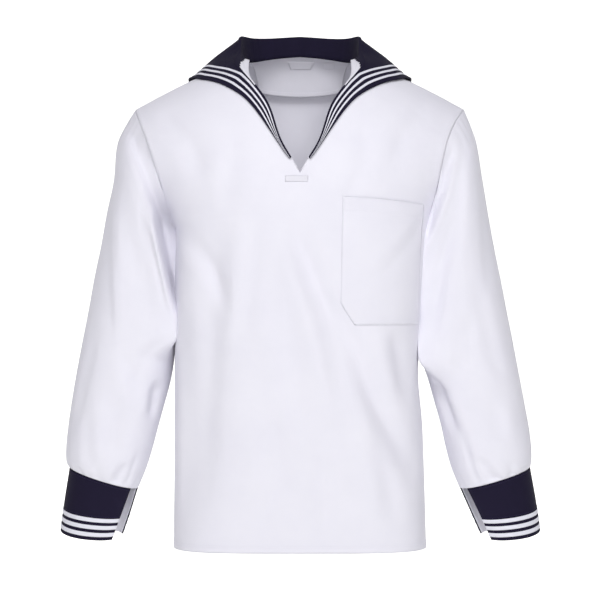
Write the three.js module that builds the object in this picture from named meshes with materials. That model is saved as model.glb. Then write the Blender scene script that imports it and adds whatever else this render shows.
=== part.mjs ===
// A sailor jumper, worn form with no wearer, hollow and open at neck, hem and cuffs.
// Millimetres. +x is the wearer's left, -y is the front, +z is up.
// The origin is the point between the shoulders where a wearer or a hanger holds it.
import * as THREE from 'three';

// Cloth thicknesses and seam gap
const CLOTH = 1.6;
const COLLAR_CLOTH = 2.2;
const CUFF_CLOTH = 2.0;
const CUFF_FACING = 1.0;
const TAPE = 1.0;
const POCKET_CLOTH = 1.4;
const LABEL = 1.0;
const SEAM = 0.3;

// Neck and collar sizes
const NECK_HALF = 80;
const STAND = 24;
const ROLL = 2.6;
const COLLAR_REST = 0.8;
const COLLAR_START = 0.9;
const COLLAR_FALL = 66;
const FLAP_HALF = 155;
const FLAP_LIFT = 2.4;

// Tape layout, measured in from the edge
const TAPE_EDGES = [5, 8.8, 12.6, 16.4, 20.2, 24];
const CUFF_TAPE_EDGES = [4.8, 10.4, 14.8, 20.4, 24.8, 30.4];

// Pocket sizes
const POCKET_INNER = 57;
const POCKET_OUTER = 162;

// Back neck facing and labels
const FACING = 1.2;
const FACING_LAST_ROW = 3.4;
const LABEL_REST = 0.9;

const radians = (degrees) => degrees * Math.PI / 180;
const lerp = (a, b, t) => a + (b - a) * t;
const clamp = (v, low, high) => Math.min(high, Math.max(low, v));
const smooth = (v) => v * v * (3 - 2 * v);
const ramp = (v, low, high) => smooth(clamp((v - low) / (high - low), 0, 1));
const add = (a, b, k = 1) => [a[0] + b[0] * k, a[1] + b[1] * k, a[2] + b[2] * k];
const sub = (a, b) => add(a, b, -1);
const dot = (a, b) => a[0] * b[0] + a[1] * b[1] + a[2] * b[2];
const cross = (a, b) => [
  a[1] * b[2] - a[2] * b[1],
  a[2] * b[0] - a[0] * b[2],
  a[0] * b[1] - a[1] * b[0],
];
const size = (a) => Math.hypot(...a);
const unit = (a) => add([0, 0, 0], a, 1 / (size(a) || 1));
const mix = (a, b, t) => a.map((v, k) => lerp(v, b[k], t));

function table(columns, rows) {
  const names = columns.split(' ');
  return rows.map((row) => Object.fromEntries(names.map((name, k) => [name, row[k]])));
}

// A row of a table at a fractional place, eased through its neighbours
function rowAt(rows, place) {
  const last = rows.length - 1;
  const i = clamp(Math.floor(place), 0, last - 1);
  const f = place - i;
  const at = (k) => rows[clamp(k, 0, last)];
  const out = {};
  for (const name of Object.keys(rows[0])) {
    const p1 = at(i)[name];
    const p2 = at(i + 1)[name];
    const p0 = i > 0 ? at(i - 1)[name] : 2 * p1 - p2;
    const p3 = i + 2 <= last ? at(i + 2)[name] : 2 * p2 - p1;
    const c = [2 * p1, p2 - p0, 2 * p0 - 5 * p1 + 4 * p2 - p3, 3 * p1 - p0 - 3 * p2 + p3];
    out[name] = 0.5 * (c[0] + f * (c[1] + f * (c[2] + f * c[3])));
  }
  return out;
}

// Body rows: centre line, then the shoulder, armhole or side edge of each half.
// neck is the half width of the neck hole on that row, power squares the section,
// round turns a flat shoulder row into a full half section.
const BODY_COLUMNS = 'midY midZ edgeRight edgeLeft edgeY edgeZ neck power round';
const FRONT = table(BODY_COLUMNS, [
  [5, 27, 230, 230, 5, -61, 80, 2.4, 0],
  [-30, 19, 228, 225, -20, -67, 79, 2.4, 0.05],
  [-64, -10, 221, 214, -44, -83, 70, 2.4, 0.12],
  [-90, -60, 211, 203, -61, -107, 42, 2.4, 0.25],
  [-105, -112, 201, 195, -67, -137, 25, 2.4, 0.4],
  [-114, -158, 191, 189, -59, -169, 0, 2.5, 0.6],
  [-118, -187, 182, 184, -39, -200, 0, 2.5, 0.8],
  [-121, -212, 176, 181, -16, -222, 0, 2.6, 0.95],
  [-122, -238, 173, 180, 6, -238, 0, 2.6, 1],
  [-124, -300, 172, 174, 6, -300, 0, 2.7, 1],
  [-125, -362, 172, 166, 6, -362, 0, 2.9, 1],
  [-124, -430, 172, 166, 6, -430, 0, 3.1, 1],
  [-122, -500, 172, 168, 6, -500, 0, 3.3, 1],
  [-119, -570, 173, 170, 6, -570, 0, 3.5, 1],
  [-116, -625, 174, 173, 6, -625, 0, 3.7, 1],
  [-114, -668, 175, 175, 6, -668, 0, 3.9, 1],
]);
const BACK = table(BODY_COLUMNS, [
  [5, 27, 230, 230, 5, -61, 80, 2.4, 0],
  [36, 26, 228, 225, 30, -66, 70, 2.4, 0.05],
  [62, 22, 221, 214, 55, -80, 0, 2.4, 0.12],
  [82, -6, 211, 204, 71, -104, 0, 2.4, 0.25],
  [96, -55, 202, 196, 77, -134, 0, 2.4, 0.4],
  [102, -105, 192, 190, 68, -166, 0, 2.5, 0.6],
  [105, -155, 183, 185, 48, -198, 0, 2.5, 0.8],
  [106, -200, 177, 182, 26, -221, 0, 2.6, 0.95],
  [106, -238, 173, 180, 6, -238, 0, 2.6, 1],
  [106, -300, 172, 174, 6, -300, 0, 2.7, 1],
  [106, -362, 172, 166, 6, -362, 0, 2.9, 1],
  [105, -430, 172, 166, 6, -430, 0, 3.1, 1],
  [104, -500, 172, 168, 6, -500, 0, 3.3, 1],
  [103, -570, 173, 170, 6, -570, 0, 3.5, 1],
  [102, -625, 174, 173, 6, -625, 0, 3.7, 1],
  [101, -668, 175, 175, 6, -668, 0, 3.9, 1],
]);
const UNDERARM_ROW = 8;
const SIDE_Y = 6;
const VEE_ROW = 5;
const POCKET_ROWS = [6, 10];
const BACK_NECK_ROW = 2;

// Body folds in front view: a soft trough through three points, depth across the cloth
const FOLDS = table('x0 z0 x1 z1 x2 z2 depth wide ridge', [
  [-103, -225, -112, -330, -134, -600, 5, 15, 0.5],
  [9, -233, 24, -330, 66, -478, 5.5, 13, 0.5],
  [50, -335, 78, -425, 150, -560, 6, 14, 0.4],
  [128, -372, 136, -410, 147, -462, 5, 12, 0.4],
  [-40, -470, -30, -560, -46, -640, 3, 16, 0.3],
]);
const BACK_FOLDS = table('x0 z0 x1 z1 x2 z2 depth wide ridge', [
  [96, -290, 104, -380, 128, -610, 5, 16, 0.5],
  [-20, -330, -36, -430, -70, -560, 5, 15, 0.4],
  [-110, -300, -104, -360, -120, -470, 4, 14, 0.4],
]);

function foldPush(folds, x, z) {
  let push = 0;
  for (const f of folds) {
    const pts = [[f.x0, f.z0], [f.x1, f.z1], [f.x2, f.z2]];
    const total = Math.hypot(f.x1 - f.x0, f.z1 - f.z0) + Math.hypot(f.x2 - f.x1, f.z2 - f.z1);
    let best = { gap: 1e9, along: 0, side: 0 };
    let before = 0;
    for (let k = 0; k < 2; k += 1) {
      const [ax, az] = pts[k];
      const [bx, bz] = pts[k + 1];
      const len = Math.hypot(bx - ax, bz - az);
      const run = ((x - ax) * (bx - ax) + (z - az) * (bz - az)) / len;
      const cut = clamp(run, k === 0 ? -60 : 0, k === 1 ? len + 60 : len);
      const px = ax + (bx - ax) * cut / len;
      const pz = az + (bz - az) * cut / len;
      const gap = Math.hypot(x - px, z - pz);
      if (gap < best.gap) {
        const side = ((x - ax) * (bz - az) - (z - az) * (bx - ax)) / len;
        best = { gap, along: (before + cut) / total, side };
      }
      before += len;
    }
    const ends = ramp(best.along, -0.12, 0.22) * (1 - ramp(best.along, 0.7, 1.12));
    const wide = best.side > 0 ? f.wide * (f.steep ?? 1) : f.wide;
    const trough = Math.exp(-((best.gap / wide) ** 2));
    const ridge = Math.exp(-(((best.side - 1.7 * wide) / wide) ** 2));
    push += ends * f.depth * (f.ridge * ridge - trough);
  }
  return push;
}

// One half of a body row as a fine line from the centre out; half is -1 or 1
const FINE = 48;
function bodyLine(rows, place, half) {
  const r = rowAt(rows, place);
  const edge = half < 0 ? r.edgeRight : r.edgeLeft;
  const slope = clamp(1 - r.round, 0, 1);
  const edgeY = place >= UNDERARM_ROW ? SIDE_Y : r.edgeY;
  const line = [];
  for (let k = 0; k <= FINE; k += 1) {
    const f = k / FINE;
    const turn = f * Math.PI / 2;
    const across = lerp(f, Math.sin(turn) ** (2 / r.power), r.round);
    const deep = lerp(1 - across ** r.power, Math.cos(turn) ** (2 / r.power), r.round);
    const drop = lerp(across ** 2, across ** 1.5, slope);
    const sideY = lerp(r.edgeY, edgeY, ramp(across, 0.9, 1));
    line.push([half * edge * across, lerp(sideY, r.midY, deep), lerp(r.midZ, r.edgeZ, drop)]);
  }
  return line;
}
function pointAtX(line, x) {
  const want = Math.abs(x);
  for (let k = 0; k < line.length - 1; k += 1) {
    const a = Math.abs(line[k][0]);
    const b = Math.abs(line[k + 1][0]);
    if (want <= b + 1e-9) return mix(line[k], line[k + 1], clamp((want - a) / (b - a), 0, 1));
  }
  return line[line.length - 1];
}
function pointAlong(line, from, to, f) {
  // The place a fraction f of the way along the line between two |x| values
  const runs = [0];
  for (let k = 1; k < line.length; k += 1) runs.push(runs[k - 1] + size(sub(line[k], line[k - 1])));
  const reach = (x) => {
    for (let k = 0; k < line.length - 1; k += 1) {
      const a = Math.abs(line[k][0]);
      const b = Math.abs(line[k + 1][0]);
      if (x <= b + 1e-9) return lerp(runs[k], runs[k + 1], clamp((x - a) / (b - a), 0, 1));
    }
    return runs[line.length - 1];
  };
  const want = lerp(reach(from), to === Infinity ? runs[line.length - 1] : reach(to), f);
  for (let k = 0; k < line.length - 1; k += 1) {
    if (want <= runs[k + 1] + 1e-9) {
      return mix(line[k], line[k + 1], clamp((want - runs[k]) / (runs[k + 1] - runs[k]), 0, 1));
    }
  }
  return line[line.length - 1];
}

// A sheet of cloth: named points and faces that share them
class Sheet {
  constructor() {
    this.points = [];
    this.seamNormals = [];
    this.keys = new Map();
    this.faces = [];
  }
  add(point, seamNormal = null) {
    const key = point.map((v) => Math.round(v * 2000)).join(' ');
    if (!this.keys.has(key)) {
      this.keys.set(key, this.points.length);
      this.points.push(point);
      this.seamNormals.push(seamNormal);
    }
    return this.keys.get(key);
  }
  quad(a, b, c, d) {
    const ring = [a, b, c, d].filter((v, k, all) => v !== all[(k + 1) % all.length]);
    if (ring.length === 4 && new Set(ring).size === 4) {
      const p = ring.map((k) => this.points[k]);
      const short = size(sub(p[0], p[2])) <= size(sub(p[1], p[3]));
      this.faces.push(short ? [ring[0], ring[1], ring[2]] : [ring[0], ring[1], ring[3]]);
      this.faces.push(short ? [ring[0], ring[2], ring[3]] : [ring[1], ring[2], ring[3]]);
    } else if (ring.length === 3 && new Set(ring).size === 3) {
      this.faces.push(ring);
    }
  }
  grid(rows, flip) {
    for (let i = 0; i < rows.length - 1; i += 1) {
      for (let j = 0; j < rows[i].length - 1; j += 1) {
        const q = [rows[i][j], rows[i + 1][j], rows[i + 1][j + 1], rows[i][j + 1]];
        if (flip) q.reverse();
        this.quad(...q);
      }
    }
  }
  normals() {
    const sum = this.points.map(() => [0, 0, 0]);
    for (const face of this.faces) {
      const [a, b, c] = face.map((k) => this.points[k]);
      face.forEach((k, n) => {
        const p = [a, b, c][n];
        const u = sub([a, b, c][(n + 1) % 3], p);
        const v = sub([a, b, c][(n + 2) % 3], p);
        const angle = Math.acos(clamp(dot(u, v) / (size(u) * size(v) || 1), -1, 1));
        sum[k] = add(sum[k], unit(cross(u, v)), angle);
      });
    }
    return sum.map((n, k) => (this.seamNormals[k] ? unit(this.seamNormals[k]) : unit(n)));
  }
}

// A closed wall of cloth between two offsets from a sheet
function wall(sheet, out, thick) {
  const used = [...new Set(sheet.faces.flat())];
  const place = new Map(used.map((k, n) => [k, n]));
  const normals = sheet.normals();
  const count = used.length;
  const position = [];
  for (const k of used) position.push(...add(sheet.points[k], normals[k], out));
  for (const k of used) position.push(...add(sheet.points[k], normals[k], out - thick));
  const index = [];
  const edges = new Map();
  for (const face of sheet.faces) {
    const [a, b, c] = face.map((k) => place.get(k));
    index.push(a, b, c, a + count, c + count, b + count);
    for (const [p, q] of [[a, b], [b, c], [c, a]]) edges.set(`${p} ${q}`, [p, q]);
  }
  for (const [p, q] of edges.values()) {
    if (!edges.has(`${q} ${p}`)) index.push(p, p + count, q, q, p + count, q + count);
  }
  const geometry = new THREE.BufferGeometry();
  geometry.setAttribute('position', new THREE.Float32BufferAttribute(position, 3));
  geometry.setIndex(index);
  geometry.computeVertexNormals();
  return geometry;
}
// The same points with only some faces kept, so a patch follows its panel
function patch(sheet, faces) {
  const out = new Sheet();
  out.points = sheet.points;
  out.seamNormals = sheet.normals();
  out.faces = faces;
  return out;
}

const group = new THREE.Group();
group.name = 'sailor_jumper';
const white = { color: 0xeeeef5, roughness: 0.85, metalness: 0 };
const navy = { color: 0x1f1b33, roughness: 0.85, metalness: 0 };
const inner = { color: 0xd2d1da, roughness: 0.88, metalness: 0 };
const tape = { color: 0xf2f2f8, roughness: 0.75, metalness: 0 };
const label = { color: 0xe2e1e8, roughness: 0.6, metalness: 0 };
function piece(name, geometry, look) {
  const mesh = new THREE.Mesh(geometry, new THREE.MeshStandardMaterial(look));
  mesh.name = name;
  group.add(mesh);
}

// Armhole: the direction out from the middle of the hole, within its plane
function armholeNormal(point, half) {
  const middle = [half * 203, 6, -150];
  const axis = unit([half * 0.95, 0, -0.31]);
  const away = sub(point, middle);
  const flat = unit(sub(away, add([0, 0, 0], axis, dot(away, axis))));
  return flat;
}

// Half width of the back neck, a quarter round from the shoulder to the middle
function backNeck(place) {
  return NECK_HALF * Math.sqrt(Math.max(0, 1 - (place / BACK_NECK_ROW) ** 2));
}

// A body panel: both halves, from the wearer's right to left, from the shoulder to the hem
function bodyPanel(rows, places, columns, folds, facing) {
  const sheet = new Sheet();
  const grid = [];
  for (const place of places) {
    const r = rowAt(rows, place);
    const neckLimit = facing < 0 ? VEE_ROW : BACK_NECK_ROW;
    let neck = place >= neckLimit - 1e-6 ? 0 : Math.max(0, r.neck);
    if (facing > 0) neck = backNeck(place);
    const line = { '-1': bodyLine(rows, place, -1), 1: bodyLine(rows, place, 1) };
    const make = (half, f) => {
      const settle = facing < 0 ? ramp(place, 2, POCKET_ROWS[0]) : 0;
      let p;
      const even = pointAlong(line[half], neck, Infinity, f);
      const [a, b] = [columns.knots[0], columns.knots[1]];
      if (settle > 0) {
        const pocketSide = Math.max(POCKET_INNER, neck + 5);
        if (f <= a) p = pointAlong(line[half], neck, pocketSide, f / a);
        else if (f <= b) p = pointAlong(line[half], pocketSide, POCKET_OUTER, (f - a) / (b - a));
        else p = pointAlong(line[half], POCKET_OUTER, Infinity, (f - b) / (1 - b));
        p = pointAlong(line[half], Math.abs(lerp(even[0], p[0], settle)), Infinity, 0);
        if (f === 1) p = even;
      } else {
        p = even;
      }
      let seamNormal = null;
      if (f === 1) {
        if (place < 1e-6) seamNormal = [half * 0.5, 0, 0.87];
        else if (place < UNDERARM_ROW - 1e-6) {
          const keep = 1 - ramp(place, 5, 7);
          const flat = armholeNormal(p, half);
          seamNormal = unit(add(add([0, 0, 0], flat, keep), [half, 0.25 * facing, 0], 1 - keep));
        } else seamNormal = [half, 0, 0];
      } else if (place < 1e-6) {
        seamNormal = [half * lerp(0.3, 0.45, f), 0, 1];
      }
      const q = [...p];
      const seamSide = place < 1e-6 || (f === 1 && place >= UNDERARM_ROW - 1e-6);
      if (seamSide) q[1] += facing * SEAM * 0.6;
      return [q, seamNormal];
    };
    const right = [];
    const left = [];
    for (let j = columns.count; j >= 0; j -= 1) right.push(sheet.add(...make(-1, j / columns.count)));
    for (let j = 0; j <= columns.count; j += 1) left.push(sheet.add(...make(1, j / columns.count)));
    grid.push({ place, right, left });
  }
  sheet.grid(grid.map((g) => g.right), facing > 0);
  sheet.grid(grid.map((g) => g.left), facing > 0);
  // Folds push the cloth along its own normals
  const normals = sheet.normals();
  sheet.points = sheet.points.map((p, k) => {
    const inside = 1 - ramp(Math.abs(p[0]), 158, 172);
    return add(p, normals[k], foldPush(folds, p[0], p[2]) * inside);
  });
  return { sheet, grid };
}
function spread(parts) {
  const out = [parts[0][0]];
  for (const [from, to, count] of parts) {
    for (let k = 1; k <= count; k += 1) out.push(lerp(from, to, k / count));
  }
  return out;
}

const frontColumns = { count: 13, knots: [4 / 13, 10 / 13] };
const front = bodyPanel(FRONT, spread([[0, 8, 16], [8, 15, 14]]), frontColumns, FOLDS, -1);
piece('front', wall(front.sheet, 0, CLOTH), white);
const backColumns = { count: 10, knots: [0.3, 0.8] };
const backPlaces = spread([[0, 2, 7], [2, 8, 9], [8, 15, 10]]);
const back = bodyPanel(BACK, backPlaces, backColumns, BACK_FOLDS, 1);
piece('back', wall(back.sheet, 0, CLOTH), white);

// Breast pocket, cut from the front panel's own points, one lower corner clipped
function facesInside(panel, side, rowFrom, rowTo, colFrom, colTo, clip = false) {
  const keep = new Sheet();
  keep.points = panel.sheet.points;
  const rows = panel.grid.filter((g) => g.place >= rowFrom - 1e-6 && g.place <= rowTo + 1e-6);
  rows.slice(0, -1).forEach((g, i) => {
    for (let j = colFrom; j < colTo; j += 1) {
      const [a, b] = [g[side][j], rows[i + 1][side][j]];
      const [c, d] = [rows[i + 1][side][j + 1], g[side][j + 1]];
      if (clip && i === rows.length - 2 && j === colFrom) keep.faces.push([a, c, d]);
      else keep.quad(a, b, c, d);
    }
  });
  return keep.faces;
}
const pocketFaces = facesInside(front, 'left', ...POCKET_ROWS, 4, 10, true);
piece('breast_pocket', wall(patch(front.sheet, pocketFaces), SEAM + POCKET_CLOTH, POCKET_CLOTH), white);

// Facing inside the back neck, cut from the back panel's points
const facingFaces = [
  ...facesInside(back, 'right', 0, FACING_LAST_ROW, 5, 10),
  ...facesInside(back, 'left', 0, FACING_LAST_ROW, 0, 5),
].map((f) => [f[0], f[2], f[1]]);
piece('back_neck_facing', wall(patch(back.sheet, facingFaces), -CLOTH - SEAM, FACING), inner);

// Sleeves: rings run from the armhole to the cuff seam.
// Each ring lies between an outer and an inner point, with its own front and back reach.
const SLEEVE = table('outerZ outerRight outerLeft innerZ innerRight innerLeft frontY backY', [
  [-61, 230, 230, -238, 173, 180, -66, 78],
  [-106, 254, 246, -252, 175.5, 181.5, -70, 77],
  [-160, 260, 255.5, -272, 176, 180, -71, 75],
  [-205, 270, 263, -296, 176, 178, -69, 71],
  [-250, 278, 271, -322, 176, 175.5, -67, 66],
  [-295, 287.5, 280, -348, 176, 172.5, -66, 63],
  [-340, 295.5, 288.5, -377, 176, 170.5, -65, 60],
  [-385, 304, 297.5, -407, 177, 172, -63, 58],
  [-430, 312.5, 306, -438, 182.5, 179.5, -61, 56],
  [-472, 319.5, 314, -470, 190.5, 188.5, -59, 53],
  [-508, 324.5, 320.5, -502, 199, 198, -57, 49],
  [-535, 327, 323.5, -534, 208, 205, -54, 45],
  [-553, 326.5, 323.5, -563, 216, 213, -50, 41],
  [-560, 322, 321.5, -590, 226.5, 223.5, -43, 33],
]);
const CUFF = table('outerZ outerRight outerLeft innerZ innerRight innerLeft frontY backY', [
  [-560.5, 322, 321.6, -590.5, 226.6, 223.6, -42.8, 32.9],
  [-604, 329, 329.5, -624, 237, 238.5, -40, 30],
  [-648, 335, 336, -656, 248, 253, -38, 28],
]);
const RING_SIDES = 20;
const RING_TURNS = [0, 20, 45, 70, 95, 120, 145, 165, 180];
const LEAN = 0.12;
const ARMHOLE_GAP = 0.8;

function ringPoint(r, half, angle) {
  const outer = [half * (half < 0 ? r.outerRight : r.outerLeft), 0, r.outerZ];
  const innerSide = [half * (half < 0 ? r.innerRight : r.innerLeft), 0, r.innerZ];
  const middle = mix(outer, innerSide, 0.5);
  const reach = angle < 180 ? -r.frontY : r.backY;
  const c = Math.cos(radians(angle));
  const s = Math.sin(radians(angle));
  const square = 0.92;
  const p = add(middle, sub(innerSide, middle), Math.sign(c) * Math.abs(c) ** square);
  p[1] = -Math.sign(s) * Math.abs(s) ** square * reach;
  p[2] += p[1] * LEAN * 0.5;
  return p;
}
// Creases along a sleeve: ring and angle where each starts and ends
const CREASE_COLUMNS = 'ring0 turn0 ring1 turn1 depth wide';
const CREASES = {
  '-1': table(CREASE_COLUMNS, [
    [8.6, 92, 11.4, 78, 4, 12],
    [8.1, 42, 9.6, 34, 6, 10],
    [11.6, 62, 13.2, 70, 4, 9],
    [3, 250, 7, 280, 4, 16],
  ]),
  1: table(CREASE_COLUMNS, [
    [7.8, 30, 10.2, 42, 7, 11],
    [11.3, 74, 13.2, 88, 4, 9],
    [8.8, 104, 10.4, 98, 3, 11],
    [3, 244, 7.4, 284, 4, 16],
  ]),
};
// Folds on the front of a sleeve, in front view: steep narrows a fold on one side
const SLEEVE_FOLD_COLUMNS = 'x0 z0 x1 z1 x2 z2 depth wide ridge steep';
const SLEEVE_FOLDS = {
  '-1': table(SLEEVE_FOLD_COLUMNS, [
    [-228, -122, -203, -203, -172, -335, 12, 15, 0.2, 0.5],
    [-250, -369, -255, -257, -255, -172, 3, 9, 0.4, 1],
  ]),
  1: table(SLEEVE_FOLD_COLUMNS, [
    [213, -133, 202, -177, 180, -235, 8, 8, 0.2, 1],
    [217, -225, 206, -273, 200, -330, 4, 10, 0.3, 1],
    [238, -177, 241, -277, 245, -387, 3, 9, 0.4, 1],
  ]),
};
function creasePush(list, ring, angle) {
  let push = 0;
  for (const f of list) {
    const along = (ring - f.ring0) / (f.ring1 - f.ring0);
    const ends = ramp(along, -0.15, 0.25) * (1 - ramp(along, 0.7, 1.1));
    const gap = (angle - lerp(f.turn0, f.turn1, clamp(along, 0, 1))) / f.wide;
    push += ends * f.depth * (0.35 * Math.exp(-((gap - 1.8) ** 2)) - Math.exp(-(gap ** 2)));
  }
  return push;
}
function bodyEdge(half, angle) {
  // The armhole edge of the body, from the underarm at 0 round the front to the top at 180
  const facing = angle <= 180 ? -1 : 1;
  const turn = Math.abs(180 - angle);
  let k = 0;
  while (k < 7 && turn > RING_TURNS[k + 1]) k += 1;
  const place = k + (turn - RING_TURNS[k]) / (RING_TURNS[k + 1] - RING_TURNS[k]);
  const line = bodyLine(facing < 0 ? FRONT : BACK, place, half);
  const p = line[line.length - 1];
  const flat = armholeNormal(p, half);
  const keep = 1 - ramp(place, 5, 7);
  return [p, unit(add(add([0, 0, 0], flat, keep), [-half, 0.25 * facing, 0], 1 - keep))];
}
function sleeve(half, places) {
  const sheet = new Sheet();
  const axis = unit([half * 0.94, 0, -0.34]);
  const rings = places.map((place) => {
    const ring = [];
    const r = rowAt(SLEEVE, place);
    for (let j = 0; j < RING_SIDES; j += 1) {
      const angle = j * 360 / RING_SIDES;
      let p = ringPoint(r, half, angle);
      let seamNormal = null;
      if (place < 1) {
        const [edge, normal] = bodyEdge(half, angle);
        p = mix(add(edge, axis, ARMHOLE_GAP), p, smooth(place));
        if (place < 1e-6) seamNormal = normal;
      }
      ring.push(sheet.add(p, seamNormal));
    }
    return [...ring, ring[0]];
  });
  sheet.grid(rings, half < 0);
  const normals = sheet.normals();
  rings.forEach((ring, i) => {
    ring.slice(0, -1).forEach((k, j) => {
      const p = sheet.points[k];
      const push = creasePush(CREASES[half], places[i], j * 360 / RING_SIDES)
        + foldPush(SLEEVE_FOLDS[half], p[0], p[2]) * ramp(-p[1], 5, 25);
      const calm = ramp(places[i], 0, 0.8) * (1 - ramp(places[i], 12.6, 13));
      sheet.points[k] = add(p, normals[k], push * calm);
    });
  });
  return sheet;
}
const sleevePlaces = [
  0, 0.4, 0.9, 1.6, 2.4, 3.2, 4, 4.8, 5.6, 6.5,
  7.4, 8.2, 8.9, 9.6, 10.4, 11.2, 12, 12.6, 13,
];
for (const [half, name] of [[-1, 'right'], [1, 'left']]) {
  piece(`sleeve_${name}`, wall(sleeve(half, sleevePlaces), 0, CLOTH), white);
}

// Pattern map: x across, g the distance over the cloth from the shoulder top,
// front positive and back negative, laid on the body's surface.
const DRAPE_STEP = 1 / 6;
const drapeLines = {};
for (const [facing, rows] of [[-1, FRONT], [1, BACK]]) {
  for (const half of [-1, 1]) {
    const lines = [];
    for (let place = 0; place <= 10.001; place += DRAPE_STEP) lines.push(bodyLine(rows, place, half));
    drapeLines[`${facing} ${half}`] = lines;
  }
}
function downLine(x, facing) {
  return drapeLines[`${facing} ${x < 0 ? -1 : 1}`].map((line) => pointAtX(line, x));
}
function drape(x, g) {
  const line = downLine(x, g >= 0 ? -1 : 1);
  let remain = Math.abs(g);
  for (let k = 0; k < line.length - 1; k += 1) {
    const step = size(sub(line[k + 1], line[k]));
    if (remain <= step) return mix(line[k], line[k + 1], step > 0 ? remain / step : 0);
    remain -= step;
  }
  return line[line.length - 1];
}
function drapeNormal(x, g) {
  const across = sub(drape(x + 3, g), drape(x - 3, g));
  const down = sub(drape(x, g + 3), drape(x, g - 3));
  return unit(cross(down, across));
}
// A place on the neckline: positive up the front from the shoulder, negative round the back
function neckPattern(at, half) {
  const facing = at >= 0 ? -1 : 1;
  const place = Math.abs(at);
  const x = facing < 0 ? rowAt(FRONT, place).neck : backNeck(place);
  const line = downLine(half * Math.max(x, 0.01), facing);
  let g = 0;
  const whole = Math.floor(place / DRAPE_STEP + 1e-9);
  for (let k = 0; k < whole; k += 1) g += size(sub(line[k + 1], line[k]));
  const rest = place / DRAPE_STEP - whole;
  if (rest > 1e-6) g += rest * size(sub(line[whole + 1], line[whole]));
  return [half * x, -facing * g];
}

// Sailor collar: outer edge in the pattern, neckline place it is joined to, stand height
const COLLAR = table('neckAt edgeX edgeG stand', [
  [4.5, 14, 218, 0.6],
  [4.3, 21, 208, 0.8],
  [3.9, 32, 189, 1.0],
  [3.5, 43, 169, 1.2],
  [3.05, 54, 149, 1.4],
  [2.7, 65, 130, 1.5],
  [2.4, 76, 113, 1.6],
  [2.05, 88, 98, 1.6],
  [1.65, 99, 85, 1.6],
  [1.15, 111, 71, 2.0],
  [0.6, 124, 56, 4.0],
  [0.15, 137, 40, 9],
  [-0.2, 147, 21, 15],
  [-0.5, 153, 3, 20],
  [-0.75, FLAP_HALF, -20, 23],
  [-0.9, FLAP_HALF, -65, STAND],
  [-1.02, FLAP_HALF, -115, STAND],
  [-1.12, FLAP_HALF, -165, STAND],
  [-1.22, FLAP_HALF, -215, STAND],
  [-1.32, FLAP_HALF, -263, STAND],
  [-1.45, 124, -276, STAND],
  [-1.6, 93, -289, STAND],
  [-1.75, 62, -301, STAND],
  [-1.88, 31, -314, STAND],
  [-2, 0, -326, STAND],
]);
const COLLAR_FILL = [0.22, 0.46, 0.7, 0.88, 1];
// Twice as many rows where the collar passes over the shoulder and down the back
const COLLAR_ROWS = COLLAR.flatMap((r, i) => {
  const next = COLLAR[i + 1];
  if (!next || i < 12 || i > 18) return [r];
  return [r, Object.fromEntries(Object.keys(r).map((name) => [name, lerp(r[name], next[name], 0.5)]))];
});

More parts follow.
